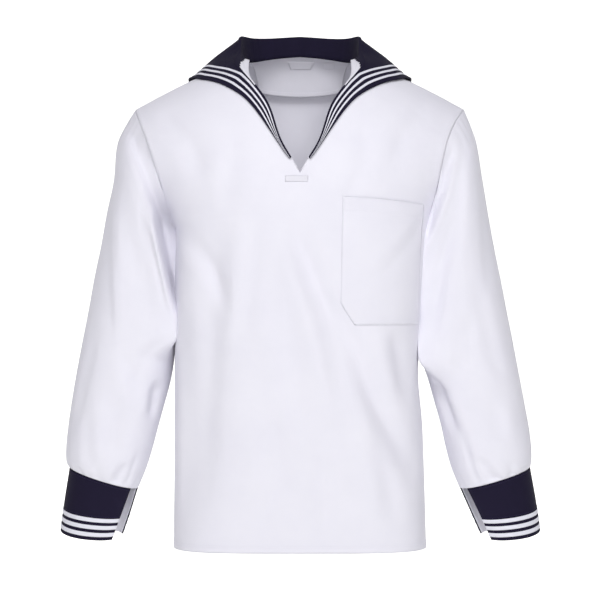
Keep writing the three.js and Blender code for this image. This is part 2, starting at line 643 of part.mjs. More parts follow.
function collarHalf(sheet, half) {
  const flat = COLLAR_ROWS.map((r) => [half * r.edgeX, r.edgeG]);
  const inward = (a, b) => {
    const len = Math.hypot(b[0] - a[0], b[1] - a[1]);
    return [half * (b[1] - a[1]) / len, -half * (b[0] - a[0]) / len];
  };
  const grid = COLLAR_ROWS.map((r, i) => {
    const edge = flat[i];
    const before = i > 0 ? inward(flat[i - 1], edge) : inward(edge, flat[i + 1]);
    const after = i < flat.length - 1 ? inward(edge, flat[i + 1]) : [0, 1];
    const share = 1 + before[0] * after[0] + before[1] * after[1];
    let mitre = [(before[0] + after[0]) / share, (before[1] + after[1]) / share];
    if (i === flat.length - 1) mitre = [0, 1];
    const neck = neckPattern(r.neckAt, half);
    const width = Math.hypot(neck[0] - edge[0], neck[1] - edge[1]);
    const toEdge = [(edge[0] - neck[0]) / width, (edge[1] - neck[1]) / width];
    const tuck = Math.min(2 * ROLL, width);
    const fallEnd = [neck[0] + toEdge[0] * tuck, neck[1] + toEdge[1] * tuck];
    const room = width - tuck;
    const spots = [];
    for (const inset of [0, ...TAPE_EDGES]) {
      if (width < 34) {
        const f = room > 0 ? Math.min(1, inset / room) : 1;
        spots.push([lerp(edge[0], fallEnd[0], f), lerp(edge[1], fallEnd[1], f)]);
      } else spots.push([edge[0] + mitre[0] * inset, edge[1] + mitre[1] * inset]);
    }
    const lastSpot = spots[spots.length - 1];
    for (const f of COLLAR_FILL) {
      spots.push([lerp(lastSpot[0], fallEnd[0], f), lerp(lastSpot[1], fallEnd[1], f)]);
    }
    const rest = COLLAR_CLOTH + COLLAR_REST + FLAP_LIFT * ramp(-r.neckAt, 0, 0.8);
    const top = COLLAR_START + r.stand + ROLL;
    const fall = Math.min(Math.max(room, 4), COLLAR_FALL);
    const base = drape(...neck);
    const baseNormal = drapeNormal(...neck);
    const upright = unit(add(add([0, 0, 0], baseNormal, 0.35), [0, 0, 1], ramp(r.stand, 1, 12) * 0.9));
    const points = spots.map((spot) => {
      const away = Math.hypot(spot[0] - fallEnd[0], spot[1] - fallEnd[1]);
      const f = clamp(away / fall, 0, 1);
      const lift = rest + Math.max(0, top - rest) * (1 - f) ** 1.15;
      const way = unit(mix(upright, drapeNormal(...spot), ramp(f, 0, 0.6)));
      return add(drape(...spot), way, lift);
    });
    // Crest and stand, seen from the neck side
    const lastPoint = points[points.length - 1];
    const crestOut = sub(lastPoint, add(base, upright, top));
    const out = unit(sub(crestOut, add([0, 0, 0], upright, dot(crestOut, upright))));
    const crest = [[1.1, top + ROLL * 0.55], [0.25, top + ROLL * 0.1], [0, top - ROLL]];
    for (const [across, up] of crest) points.push(add(add(base, out, across * ROLL), upright, up));
    if (r.stand > 4) points.push(add(base, upright, COLLAR_START + r.stand * 0.45));
    else points.push(add(base, upright, lerp(COLLAR_START, top - ROLL, 0.5)));
    points.push(add(base, upright, COLLAR_START));
    return points.map((p) => sheet.add(p));
  });
  sheet.grid(grid, half < 0);
  return grid;
}
const collarSheet = new Sheet();
const collarGrid = { '-1': collarHalf(collarSheet, -1), 1: collarHalf(collarSheet, 1) };
piece('collar', wall(collarSheet, 0, COLLAR_CLOTH), navy);
TAPE_EDGES.forEach((inset, k) => {
  if (k % 2 === 1) return;
  const strip = new Sheet();
  strip.points = collarSheet.points;
  for (const half of [-1, 1]) {
    strip.grid(collarGrid[half].map((row) => row.slice(k + 1, k + 3)), half < 0);
  }
  piece(`collar_tape_${k / 2 + 1}`, wall(patch(collarSheet, strip.faces), SEAM + TAPE, TAPE), tape);
});

// Cuffs: an open band from the front flap round the outside to the back edge of the slit
const FLAP_TOP = 35;
const FLAP_BOTTOM = 46;
const BACK_EDGE = 354;
const CUFF_SIDES = 16;
function cuff(half) {
  const sheet = new Sheet();
  const at = (v, f) => {
    const angle = lerp(lerp(FLAP_TOP, FLAP_BOTTOM, v), BACK_EDGE, f);
    const r = rowAt(CUFF, v * 2);
    const p = ringPoint(r, half, angle);
    p[2] -= 5 * v ** 2 * Math.max(0, Math.sin(radians(angle)));
    return p;
  };
  const rows = [];
  const steps = [0, 0.2, 0.4];
  const marks = [...CUFF_TAPE_EDGES].reverse();
  for (let i = 0; i < steps.length + marks.length + 1; i += 1) {
    const row = [];
    for (let j = 0; j <= CUFF_SIDES; j += 1) {
      const f = j / CUFF_SIDES;
      const tall = size(sub(at(1, f), at(0, f)));
      let v = 1;
      if (i < steps.length) v = steps[i];
      else if (i < steps.length + marks.length) v = 1 - marks[i - steps.length] / tall;
      row.push(sheet.add(at(v, f)));
    }
    rows.push(row);
  }
  sheet.grid(rows, half < 0);
  return { sheet, rows };
}
for (const [half, name] of [[-1, 'right'], [1, 'left']]) {
  const { sheet, rows } = cuff(half);
  piece(`cuff_${name}`, wall(sheet, 0, CUFF_CLOTH), navy);
  const lining = new Sheet();
  lining.points = sheet.points;
  lining.grid([rows[0], rows[2], rows[5], rows[7], rows[9]], half < 0);
  piece(`cuff_facing_${name}`, wall(patch(sheet, lining.faces), -CUFF_CLOTH - SEAM, CUFF_FACING), white);
  [7, 5, 3].forEach((i, k) => {
    const strip = new Sheet();
    strip.points = sheet.points;
    strip.grid(rows.slice(i, i + 2), half < 0);
    piece(`cuff_tape_${name}_${k + 1}`, wall(patch(sheet, strip.faces), SEAM + TAPE, TAPE), tape);
  });
}

// Labels: plain tabs on the back neck facing and below the front opening
function heightOn(x, z, facing) {
  const line = downLine(x, facing);
  let g = 0;
  for (let k = 0; k < line.length - 1; k += 1) {
    if (line[k + 1][2] <= z && k > 3) {
      const f = (line[k][2] - z) / (line[k][2] - line[k + 1][2]);
      return -facing * (g + clamp(f, 0, 1) * size(sub(line[k + 1], line[k])));
    }
    g += size(sub(line[k + 1], line[k]));
  }
  return -facing * g;
}
function tab(name, facing, corners, out, thick, look) {
  const sheet = new Sheet();
  const rows = [0, 0.5, 1].map((v) => [0, 0.33, 0.67, 1].map((f) => {
    const [top, bottom] = [mix(corners[0], corners[1], f), mix(corners[3], corners[2], f)];
    const [x, z] = mix(top, bottom, v);
    return sheet.add(drape(x, heightOn(x, z, facing)));
  }));
  sheet.grid(rows, facing > 0);
  piece(name, wall(sheet, out, thick), look);
}
const inside = -CLOTH - SEAM - FACING - SEAM - LABEL_REST;
tab('neck_label', 1, [[-19, 12], [21, 12], [16, 1], [-14, 1]], inside, LABEL, label);
tab('size_label', 1, [[35, 12], [49, 12], [49, 4], [35, 4]], inside, LABEL, label);
const tabCorners = [[-20, -161.5], [11, -161.5], [11, -169.5], [-20, -169.5]];
tab('front_tab', -1, tabCorners, SEAM + LABEL + 0.1, LABEL, label);

export default group;
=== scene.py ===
# A worn-form sailor jumper: white cotton twill, navy collar and cuffs with white tapes.
# The cloth is drafted in millimetres from the same tables as the solids, then finished
# finer, with seams, stitches and small creases.
import math
import bpy
import numpy as np
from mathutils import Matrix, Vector


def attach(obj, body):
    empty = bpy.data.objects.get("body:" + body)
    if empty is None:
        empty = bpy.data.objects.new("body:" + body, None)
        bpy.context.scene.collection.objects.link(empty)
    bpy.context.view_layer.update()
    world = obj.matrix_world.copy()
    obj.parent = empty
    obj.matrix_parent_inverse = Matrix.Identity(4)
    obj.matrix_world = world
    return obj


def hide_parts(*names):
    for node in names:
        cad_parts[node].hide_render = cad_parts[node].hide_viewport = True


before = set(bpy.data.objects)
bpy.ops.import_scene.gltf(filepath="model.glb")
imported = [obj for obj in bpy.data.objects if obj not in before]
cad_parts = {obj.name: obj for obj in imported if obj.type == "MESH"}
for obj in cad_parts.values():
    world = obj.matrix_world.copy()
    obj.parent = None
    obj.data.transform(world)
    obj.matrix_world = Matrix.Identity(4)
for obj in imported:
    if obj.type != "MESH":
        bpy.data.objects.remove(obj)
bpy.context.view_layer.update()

# Cloth sizes, millimetres
CLOTH = 1.2
COLLAR_CLOTH = 1.8
CUFF_CLOTH = 1.8
FACING_CLOTH = 0.9
TAPE_CLOTH = 0.35
TAPE_REST = 0.15
POCKET_CLOTH = 0.4
POCKET_REST = 0.1
LABEL_CLOTH = 0.7
SEAM = 0.3
NECK_HALF = 80
STAND = 24
ROLL = 2.6
COLLAR_REST = 1.0
COLLAR_START = 0.9
COLLAR_FALL = 66
FLAP_HALF = 155
FLAP_LIFT = 2.4
TAPE_EDGES = [5.4, 8.5, 13.0, 16.1, 20.6, 23.7]
CUFF_TAPE_EDGES = [4.8, 10.4, 14.8, 20.4, 24.8, 30.4]
POCKET_INNER = 57
POCKET_OUTER = 162
UNDERARM_ROW = 8
SIDE_Y = 6
VEE_ROW = 5
POCKET_ROWS = (6, 10)
BACK_NECK_ROW = 2
HEM_ROW = 15
HEM_Z = -668
HEM_TURN = 9
# How far a turned edge's second layer stands proud
TURNED_RISE = 0.5
# Points along a half row of a panel
FINE = 120


def table(columns, rows):
    return {name: np.array([row[k] for row in rows], float) for k, name in enumerate(columns.split())}


def row_at(rows, place):
    """A row of a table at a fractional place, eased through its neighbours."""
    out = {}
    last = len(next(iter(rows.values()))) - 1
    i = int(min(max(math.floor(place), 0), last - 1))
    f = place - i
    for name, v in rows.items():
        p1, p2 = v[i], v[i + 1]
        p0 = v[i - 1] if i > 0 else 2 * p1 - p2
        p3 = v[i + 2] if i + 2 <= last else 2 * p2 - p1
        square, cube = 2 * p0 - 5 * p1 + 4 * p2 - p3, 3 * p1 - p0 - 3 * p2 + p3
        out[name] = 0.5 * (2 * p1 + f * (p2 - p0 + f * (square + f * cube)))
    return out


def ramp(v, low, high):
    v = np.clip((v - low) / (high - low), 0, 1)
    return v * v * (3 - 2 * v)


def lerp(a, b, t):
    return a + (b - a) * t


def unit(v):
    v = np.asarray(v, float)
    return v / np.maximum(np.linalg.norm(v, axis=-1, keepdims=True), 1e-12)


# Body rows: centre line, then the shoulder, armhole or side edge of each half
BODY_COLUMNS = "midY midZ edgeRight edgeLeft edgeY edgeZ neck power round"
FRONT = table(BODY_COLUMNS, [
    [5, 27, 230, 230, 5, -61, 80, 2.4, 0],
    [-30, 19, 228, 225, -20, -67, 79, 2.4, 0.05],
    [-64, -10, 221, 214, -44, -83, 70, 2.4, 0.12],
    [-90, -60, 211, 203, -61, -107, 42, 2.4, 0.25],
    [-105, -112, 201, 195, -67, -137, 25, 2.4, 0.4],
    [-114, -158, 191, 189, -59, -169, 0, 2.5, 0.6],
    [-118, -187, 182, 184, -39, -200, 0, 2.5, 0.8],
    [-121, -212, 176, 181, -16, -222, 0, 2.65, 0.95],
    [-122, -238, 173, 180, 6, -238, 0, 2.9, 1],
    [-124, -300, 174, 174, 6, -300, 0, 2.9, 1],
    [-125, -362, 174.5, 168.5, 6, -362, 0, 3.0, 1],
    [-124, -430, 174.5, 164.5, 6, -430, 0, 3.1, 1],
    [-122, -500, 174.5, 170, 6, -500, 0, 3.3, 1],
    [-119, -570, 174.5, 172.5, 6, -570, 0, 3.5, 1],
    [-116, -625, 175, 174, 6, -625, 0, 3.7, 1],
    [-114, -668, 175, 175, 6, -668, 0, 3.9, 1],
])
BACK = table(BODY_COLUMNS, [
    [5, 27, 230, 230, 5, -61, 80, 2.4, 0],
    [36, 26, 228, 225, 30, -66, 70, 2.4, 0.05],
    [62, 22, 221, 214, 55, -80, 0, 2.4, 0.12],
    [82, -6, 211, 204, 71, -104, 0, 2.4, 0.25],
    [96, -55, 202, 196, 77, -134, 0, 2.4, 0.4],
    [102, -105, 192, 190, 68, -166, 0, 2.5, 0.6],
    [105, -155, 183, 185, 48, -198, 0, 2.5, 0.8],
    [106, -200, 177, 182, 26, -221, 0, 2.6, 0.95],
    [106, -238, 173, 180, 6, -238, 0, 2.6, 1],
    [106, -300, 174, 174, 6, -300, 0, 2.7, 1],
    [106, -362, 174.5, 168.5, 6, -362, 0, 2.9, 1],
    [105, -430, 174.5, 164.5, 6, -430, 0, 3.1, 1],
    [104, -500, 174.5, 170, 6, -500, 0, 3.3, 1],
    [103, -570, 174.5, 172.5, 6, -570, 0, 3.5, 1],
    [102, -625, 175, 174, 6, -625, 0, 3.7, 1],
    [101, -668, 175, 175, 6, -668, 0, 3.9, 1],
])

# Folds of the body in front view: a soft trough through three points
FOLD_COLUMNS = "x0 z0 x1 z1 x2 z2 depth wide ridge"
FRONT_FOLDS = table(FOLD_COLUMNS, [
    [-116, -236, -122, -380, -138, -620, 9.1, 22, 0.4],
    [-158, -330, -154, -470, -158, -640, 5.6, 15, 0.3],
    [-6, -233, 30, -330, 66, -478, 9.1, 15, 0.45],
    [50, -335, 98, -452, 156, -566, 11.2, 17, 0.4],
    [128, -372, 136, -410, 147, -462, 5.6, 12, 0.4],
    [-40, -470, -30, -560, -46, -640, 4.9, 18, 0.3],
    [-150, -240, -120, -285, -96, -350, 3.6, 11, 0.5],
    [-60, -215, -66, -300, -78, -390, 2.8, 12, 0.5],
    [-24, -330, -12, -420, 6, -520, 3.4, 15, 0.4],
    [96, -500, 116, -560, 128, -630, 3.9, 13, 0.4],
    [26, -540, 34, -590, 36, -640, 2.8, 13, 0.4],
    [170, -220, 140, -262, 104, -300, 2.2, 9, 0.4],
    [-192, -70, -150, -112, -132, -168, 3.4, 14, 0.4],
    [176, -66, 140, -104, 128, -150, 2.8, 13, 0.4],
    [-86, -100, -92, -150, -98, -214, 2.2, 13, 0.4],
    [92, -96, 84, -150, 60, -206, 2.2, 13, 0.4],
])
BACK_FOLDS = table(FOLD_COLUMNS, [
    [96, -290, 104, -380, 128, -610, 5, 16, 0.5],
    [-20, -330, -36, -430, -70, -560, 5, 15, 0.4],
    [-110, -300, -104, -360, -120, -470, 4, 14, 0.4],
    [40, -280, 34, -350, 46, -430, 2, 13, 0.4],
    [-150, -250, -130, -320, -124, -400, 2.4, 11, 0.5],
    [150, -250, 140, -310, 138, -390, 2.2, 11, 0.5],
    [10, -520, 2, -580, 8, -640, 2, 14, 0.4],
    [-60, -560, -66, -610, -62, -650, 1.6, 12, 0.4],
])


def near_line(f, x, z):
    """Distance from a fold's line, the share of the way along it, and the side: + is towards -x."""
    pts = [(f["x0"], f["z0"]), (f["x1"], f["z1"]), (f["x2"], f["z2"])]
    legs = [math.dist(pts[0], pts[1]), math.dist(pts[1], pts[2])]
    best, along, side, before = np.full_like(x, 1e9), np.zeros_like(x), np.zeros_like(x), 0.0
    for k in range(2):
        (ax, az), (bx, bz) = pts[k], pts[k + 1]
        run = ((x - ax) * (bx - ax) + (z - az) * (bz - az)) / legs[k]
        cut = np.clip(run, -60 if k == 0 else 0, legs[k] + 60 if k == 1 else legs[k])
        gap = np.hypot(x - ax - (bx - ax) * cut / legs[k], z - az - (bz - az) * cut / legs[k])
        near = gap < best
        best = np.where(near, gap, best)
        along = np.where(near, (before + cut) / sum(legs), along)
        side = np.where(near, ((x - ax) * (bz - az) - (z - az) * (bx - ax)) / legs[k], side)
        before += legs[k]
    return best, along, side


def rows_of(folds):
    return [{name: v[n] for name, v in folds.items()} for n in range(len(folds["depth"]))]


def fold_push(folds, x, z):
    """How far the folds move the cloth out at places x, z seen from the front."""
    push = np.zeros_like(x)
    for f in rows_of(folds):
        best, along, side = near_line(f, x, z)
        ends = ramp(along, -0.12, 0.22) * (1 - ramp(along, 0.7, 1.12))
        trough = np.exp(-((best / f["wide"]) ** 2))
        ridge = np.exp(-(((side - 1.7 * f["wide"]) / f["wide"]) ** 2))
        push = push + ends * f["depth"] * (f["ridge"] * ridge - trough)
    return push


def step_push(steps, x, z):
    """Cloth that drops on one side of a line and keeps low, with a small lip before the drop."""
    push = np.zeros_like(x)
    for f in rows_of(steps):
        best, along, side = near_line(f, x, z)
        ends = ramp(along, -0.12, 0.3) * (1 - ramp(along, 0.75, 1.1))
        low = side * f["deepSide"] > 0
        drop = np.where(low, 1 - np.exp(-((best / f["wide"]) ** 2)), 0)
        fade = 1 - ramp(best, f["reach"] * 0.5, f["reach"])
        lip = np.where(low, 0, 0.16 * np.exp(-(((best - 1.2 * f["wide"]) / f["wide"]) ** 2)))
        push = push + ends * f["depth"] * (lip - drop * fade)
    return push


def body_line(rows, place, half):
    """One half of a body row as a fine line from the centre out; half is -1 or 1."""
    r = row_at(rows, place)
    edge = r["edgeRight"] if half < 0 else r["edgeLeft"]
    edge_y = SIDE_Y if place >= UNDERARM_ROW else r["edgeY"]
    slope = min(max(1 - r["round"], 0), 1)
    f = np.linspace(0, 1, FINE + 1)
    turn = f * math.pi / 2
    across = lerp(f, np.sin(turn) ** (2 / r["power"]), r["round"])
    cosine = np.maximum(np.cos(turn), 0)
    deep = lerp(1 - across ** r["power"], cosine ** (2 / r["power"]), r["round"])
    drop = lerp(across ** 2, across ** 1.5, slope)
    side_y = lerp(r["edgeY"], edge_y, ramp(across, 0.9, 1))
    y, z = lerp(side_y, r["midY"], deep), lerp(r["midZ"], r["edgeZ"], drop)
    return np.stack([half * edge * across, y, z], 1)


def runs_of(line):
    return np.concatenate([[0], np.cumsum(np.linalg.norm(np.diff(line, axis=0), axis=1))])


def at_run(line, runs, want):
    return np.stack([np.interp(want, runs, line[:, k]) for k in range(3)], -1)


def points_along(line, start, stop, f):
    """Points at fractions f of the way along the line between two |x| values."""
    runs = runs_of(line)
    x = np.abs(line[:, 0])
    a = np.interp(start, x, runs)
    b = runs[-1] if stop is None else np.interp(stop, x, runs)
    return at_run(line, runs, lerp(a, b, np.asarray(f, float)))


def back_neck(place):
    return NECK_HALF * math.sqrt(max(0, 1 - (place / BACK_NECK_ROW) ** 2))


def armhole_normal(p, half):
    """Out from the middle of the armhole, within its plane."""
    axis = unit([half * 0.95, 0, -0.31])
    away = np.asarray(p, float) - [half * 203, 6, -150]
    return unit(away - axis * np.sum(away * axis, -1, keepdims=True))


def edge_normal(p, half, facing, place):
    """The outward way of the cloth at the armhole edge, turning to the side below row 5."""
    keep = 1 - float(ramp(place, 5, 7))
    return armhole_normal(p, half) * keep + np.array([half, 0.25 * facing, 0]) * (1 - keep)


def between(data, i, j, fi, fj):
    """Values of a grid of rows i and columns j, read part of the way to the next ones."""
    return ((data[i, j] * (1 - fj) + data[i, j + 1] * fj) * (1 - fi)
            + (data[i + 1, j] * (1 - fj) + data[i + 1, j + 1] * fj) * fi)


# A sheet of cloth: points, pattern coordinates for the weave, faces that share them
class Sheet:
    def __init__(self):
        self.points, self.uv, self.set_normals, self.keys, self.faces = [], [], [], {}, []

    def add(self, p, uv, normal=None):
        key = tuple(int(round(v * 2000)) for v in p)
        if key not in self.keys:
            self.keys[key] = len(self.points)
            self.points.append([float(v) for v in p])
            self.uv.append((float(uv[0]), float(uv[1])))
            self.set_normals.append(normal)
        return self.keys[key]

    def row(self, points, uvs, normals=None):
        normals = normals or [None] * len(points)
        return [self.add(p, uv, n) for p, uv, n in zip(points, uvs, normals)]

    def grid(self, rows, flip):
        for a, b in zip(rows[:-1], rows[1:]):
            for j in range(len(a) - 1):
                ring = [a[j], b[j], b[j + 1], a[j + 1]]
                if flip:
                    ring.reverse()
                ring = [v for k, v in enumerate(ring) if v != ring[(k + 1) % 4]]
                if len(set(ring)) == len(ring) and len(ring) > 2:
                    self.faces.append(ring)

    def normals(self):
        pts = np.array(self.points)
        out = np.zeros_like(pts)
        for ring in self.faces:
            n = len(ring)
            p = pts[ring]
            c = np.cross(p[1] - p[0], p[2] - p[0]) if n == 3 else np.cross(p[2] - p[0], p[3] - p[1])
            c = c / (np.linalg.norm(c) or 1)
            for k in ring:
                out[k] += c
        out = unit(out)
        for k, n in enumerate(self.set_normals):
            if n is not None:
                out[k] = unit(n)
        return out


MM = 0.001


def wall(name, sheet, faces, out, thick, material, normals=None):
    """A closed thin wall of cloth between two offsets from a sheet, as a Blender object."""
    normals = sheet.normals() if normals is None else normals
    pts = np.array(sheet.points)
    used = sorted({k for ring in faces for k in ring})
    place = {k: n for n, k in enumerate(used)}
    count = len(used)
    outer = pts[used] + normals[used] * out
    inner = pts[used] + normals[used] * (out - thick)
    rings, edges = [], {}
    for ring in faces:
        r = [place[k] for k in ring]
        rings.append(r)
        for p, q in zip(r, r[1:] + r[:1]):
            edges[(p, q)] = True
    whole = list(rings) + [[k + count for k in reversed(r)] for r in rings]
    whole += [[p, p + count, q + count, q] for p, q in edges if (q, p) not in edges]
    mesh = bpy.data.meshes.new(name)
    mesh.from_pydata((np.concatenate([outer, inner]) * MM).tolist(), [], whole)
    uv = np.array([sheet.uv[k] for k in used] * 2)
    layer = mesh.uv_layers.new(name="UVMap")
    loops = np.empty(len(mesh.loops), int)
    mesh.loops.foreach_get("vertex_index", loops)
    layer.data.foreach_set("uv", (uv[loops] * MM).ravel())
    mesh.materials.append(material)
    soft = 2 * len(rings)
    mesh.polygons.foreach_set("use_smooth", [True] * soft + [False] * (len(whole) - soft))
    mesh.validate()
    obj = bpy.data.objects.new(name, mesh)
    bpy.context.scene.collection.objects.link(obj)
    return obj


def finish_piece(obj, node):
    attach(obj, "root")
    if node:
        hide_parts(*([node] if isinstance(node, str) else node))


# Materials
def linear(hexa):
    c = [int(hexa[k:k + 2], 16) / 255 for k in (1, 3, 5)]
    return [v / 12.92 if v <= 0.04045 else ((v + 0.055) / 1.055) ** 2.4 for v in c] + [1.0]


def node(tree, kind, links=(), **settings):
    """Adds a node, sets its fields and input values, and links sockets into it."""
    made = tree.nodes.new(kind)
    for name, value in settings.items():
        if hasattr(made, name) and name not in made.inputs:
            setattr(made, name, value)
        else:
            made.inputs[name.replace("_", " ")].default_value = value
    for socket, source in links:
        tree.links.new(source, made.inputs[socket])
    return made


def woven(name, colour, shade, thread, slant, roughness, sheen, bump, cloudy=0.5, soft=0.25):
    """Woven cloth. thread is the drawn pitch of the twill or rib in metres, coarser than the
    real half millimetre so that it shows; slant turns it; soft is the height of slow unevenness."""
    m = bpy.data.materials.new(name)
    m.use_nodes = True
    t = m.node_tree
    shader = t.nodes["Principled BSDF"]
    shader.inputs["Roughness"].default_value = roughness
    shader.inputs["Sheen Weight"].default_value = sheen
    shader.inputs["Sheen Roughness"].default_value = 0.5
    shader.inputs["Specular IOR Level"].default_value = 0.2
    place = node(t, "ShaderNodeUVMap", uv_map="UVMap")
    turn = node(t, "ShaderNodeMapping", [("Vector", place.outputs["UV"])], Rotation=(0, 0, slant))
    ribs = node(t, "ShaderNodeTexWave", [("Vector", turn.outputs[0])], wave_type="BANDS",
                bands_direction="X", Scale=1 / (thread * 2 * math.pi) * 2, Distortion=0.6, Detail=1.0)
    threads = node(t, "ShaderNodeTexNoise", [("Vector", place.outputs["UV"])], Scale=900.0, Detail=2.0)
    slow = node(t, "ShaderNodeTexNoise", [("Vector", place.outputs["UV"])],
                Scale=14.0, Detail=3.0, Roughness=0.55)
    mixed = node(t, "ShaderNodeMix", [("Factor", slow.outputs["Fac"])], data_type="RGBA")
    mixed.inputs[6].default_value = linear(colour)
    mixed.inputs[7].default_value = [lerp(a, b, cloudy) for a, b in zip(linear(colour), linear(shade))]
    grain = node(t, "ShaderNodeMix", [("Factor", ribs.outputs["Fac"])], data_type="RGBA")
    t.links.new(mixed.outputs[2], grain.inputs[6])
    grain.inputs[7].default_value = linear(shade)
    fade = node(t, "ShaderNodeMath", [(0, ribs.outputs["Fac"])], operation="MULTIPLY")
    fade.inputs[1].default_value = 0.12
    t.links.new(fade.outputs[0], grain.inputs[0])
    t.links.new(grain.outputs[2], shader.inputs["Base Color"])
    weave = node(t, "ShaderNodeMath", [(0, ribs.outputs["Fac"]), (1, threads.outputs["Fac"])],
                 operation="ADD")
    fine = node(t, "ShaderNodeBump", [("Height", weave.outputs[0])], Strength=bump, Distance=0.0002)
    ripple = node(t, "ShaderNodeTexNoise", [("Vector", place.outputs["UV"])],
                  Scale=26.0, Detail=2.0, Roughness=0.5)
    broad = node(t, "ShaderNodeBump", [("Height", ripple.outputs["Fac"]), ("Normal", fine.outputs[0])],
                 Strength=soft, Distance=0.004)
    t.links.new(broad.outputs[0], shader.inputs["Normal"])
    return m


# Bleached cotton twill, woven and pressed: nearly white with a faint cool cast, matt
WHITE_TWILL = woven("white_cotton_twill", "#f1f0f7", "#dedde9", 0.0011, 0.7, 0.85, 0.15, 0.35)
# The facing: the same white cotton coloured greyer, its grey painted shade for the inside of the neck
FACING_TWILL_PAINTED_SHADE = woven("facing_cotton", "#e4e3ea", "#d2d1db", 0.0011, 0.7, 0.88, 0.1, 0.35)
# Navy cotton twill, vat dyed: very dark violet blue, matt with a faint bloom
NAVY_TWILL = woven("navy_cotton_twill", "#140f26", "#201a36", 0.0011, 0.7, 0.85, 0.02, 0.5, soft=0.18)
# White cotton tape, woven narrow, ribbed across
WHITE_TAPE = woven("white_cotton_tape", "#f0f0f8", "#dcdbe8", 0.0012, 0.0, 0.7, 0.1, 0.6, soft=0.1)
# Woven satin label: smooth and a little glossy
LABEL_SATIN = woven("woven_label", "#e8e7ee", "#d6d5de", 0.0009, 0.0, 0.5, 0.0, 0.3, soft=0.05)
# Spun polyester sewing thread
WHITE_THREAD = woven("white_thread", "#f4f3fa", "#e4e3ec", 0.0006, 0.5, 0.6, 0.0, 0.2, soft=0.0)
NAVY_THREAD = woven("navy_thread", "#262040", "#352f55", 0.0006, 0.5, 0.55, 0.0, 0.2, soft=0.0)


# Stitches: short threads laid along lines by Geometry Nodes
def stitch_tree(material):
    tree = bpy.data.node_groups.new(f"stitches_{material.name}", "GeometryNodeTree")
    face = tree.interface
    face.new_socket("Geometry", in_out="INPUT", socket_type="NodeSocketGeometry")
    sizes = {}
    for name, value in (("Pitch", 0.0032), ("Stitch Length", 0.0024), ("Thread Radius", 0.00028)):
        s = face.new_socket(name, in_out="INPUT", socket_type="NodeSocketFloat")
        s.default_value = value
        sizes[name] = s.identifier
    face.new_socket("Geometry", in_out="OUTPUT", socket_type="NodeSocketGeometry")
    start = node(tree, "NodeGroupInput")
    curve = node(tree, "GeometryNodeMeshToCurve", [(0, start.outputs["Geometry"])])
    spaced = node(tree, "GeometryNodeResampleCurve",
                  [("Curve", curve.outputs[0]), ("Length", start.outputs["Pitch"])], mode="LENGTH")
    tangent = node(tree, "GeometryNodeInputTangent")
    face_along = node(tree, "FunctionNodeAlignRotationToVector", [("Vector", tangent.outputs[0])], axis="Z")
    thread = node(tree, "GeometryNodeMeshCylinder",
                  [("Radius", start.outputs["Thread Radius"]), ("Depth", start.outputs["Stitch Length"])],
                  Vertices=6)
    laid = node(tree, "GeometryNodeInstanceOnPoints",
                [("Points", spaced.outputs[0]), ("Instance", thread.outputs[0]),
                 ("Rotation", face_along.outputs[0])])
    real = node(tree, "GeometryNodeRealizeInstances", [(0, laid.outputs[0])])
    painted = node(tree, "GeometryNodeSetMaterial", [(0, real.outputs[0])])
    painted.inputs["Material"].default_value = material
    end = node(tree, "NodeGroupOutput")
    tree.links.new(painted.outputs[0], end.inputs[0])
    return tree, sizes


def stitches(name, lines, material, pitch=3.2, length=2.4, radius=0.2):
    """One plain mesh of stitches along several lines of points in millimetres."""
    verts, edges = [], []
    for line in lines:
        start = len(verts)
        verts += [[float(v) * MM for v in p] for p in line]
        edges += [(k, k + 1) for k in range(start, len(verts) - 1)]
    mesh = bpy.data.meshes.new(name + "_line")
    mesh.from_pydata(verts, edges, [])
    guide = bpy.data.objects.new(name + "_line", mesh)
    bpy.context.scene.collection.objects.link(guide)
    tree, sizes = stitch_tree(material)
    mod = guide.modifiers.new("stitches", "NODES")
    mod.node_group = tree
    mod[sizes["Pitch"]] = pitch * MM
    mod[sizes["Stitch Length"]] = length * MM
    mod[sizes["Thread Radius"]] = radius * MM
    deps = bpy.context.evaluated_depsgraph_get()
    made = bpy.data.meshes.new_from_object(guide.evaluated_get(deps))
    obj = bpy.data.objects.new(name, made)
    bpy.context.scene.collection.objects.link(obj)
    bpy.data.objects.remove(guide, do_unlink=True)
    bpy.data.node_groups.remove(tree)
    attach(obj, "root")
    return obj


def spread(*parts):
    """Places along one or more stretches (from, to, steps), without the repeats where they meet."""
    out = [parts[0][0]]
    for a, b, count in parts:
        out += [lerp(a, b, k / count) for k in range(1, count + 1)]
    return out


# Body panels. The folds fade at the sides, whose calm strip is narrower below the arm
CALM_FROM, CALM_TO = 158, 172
CALM_RISE, CALM_LOW, CALM_HIGH = 34, -236, -120


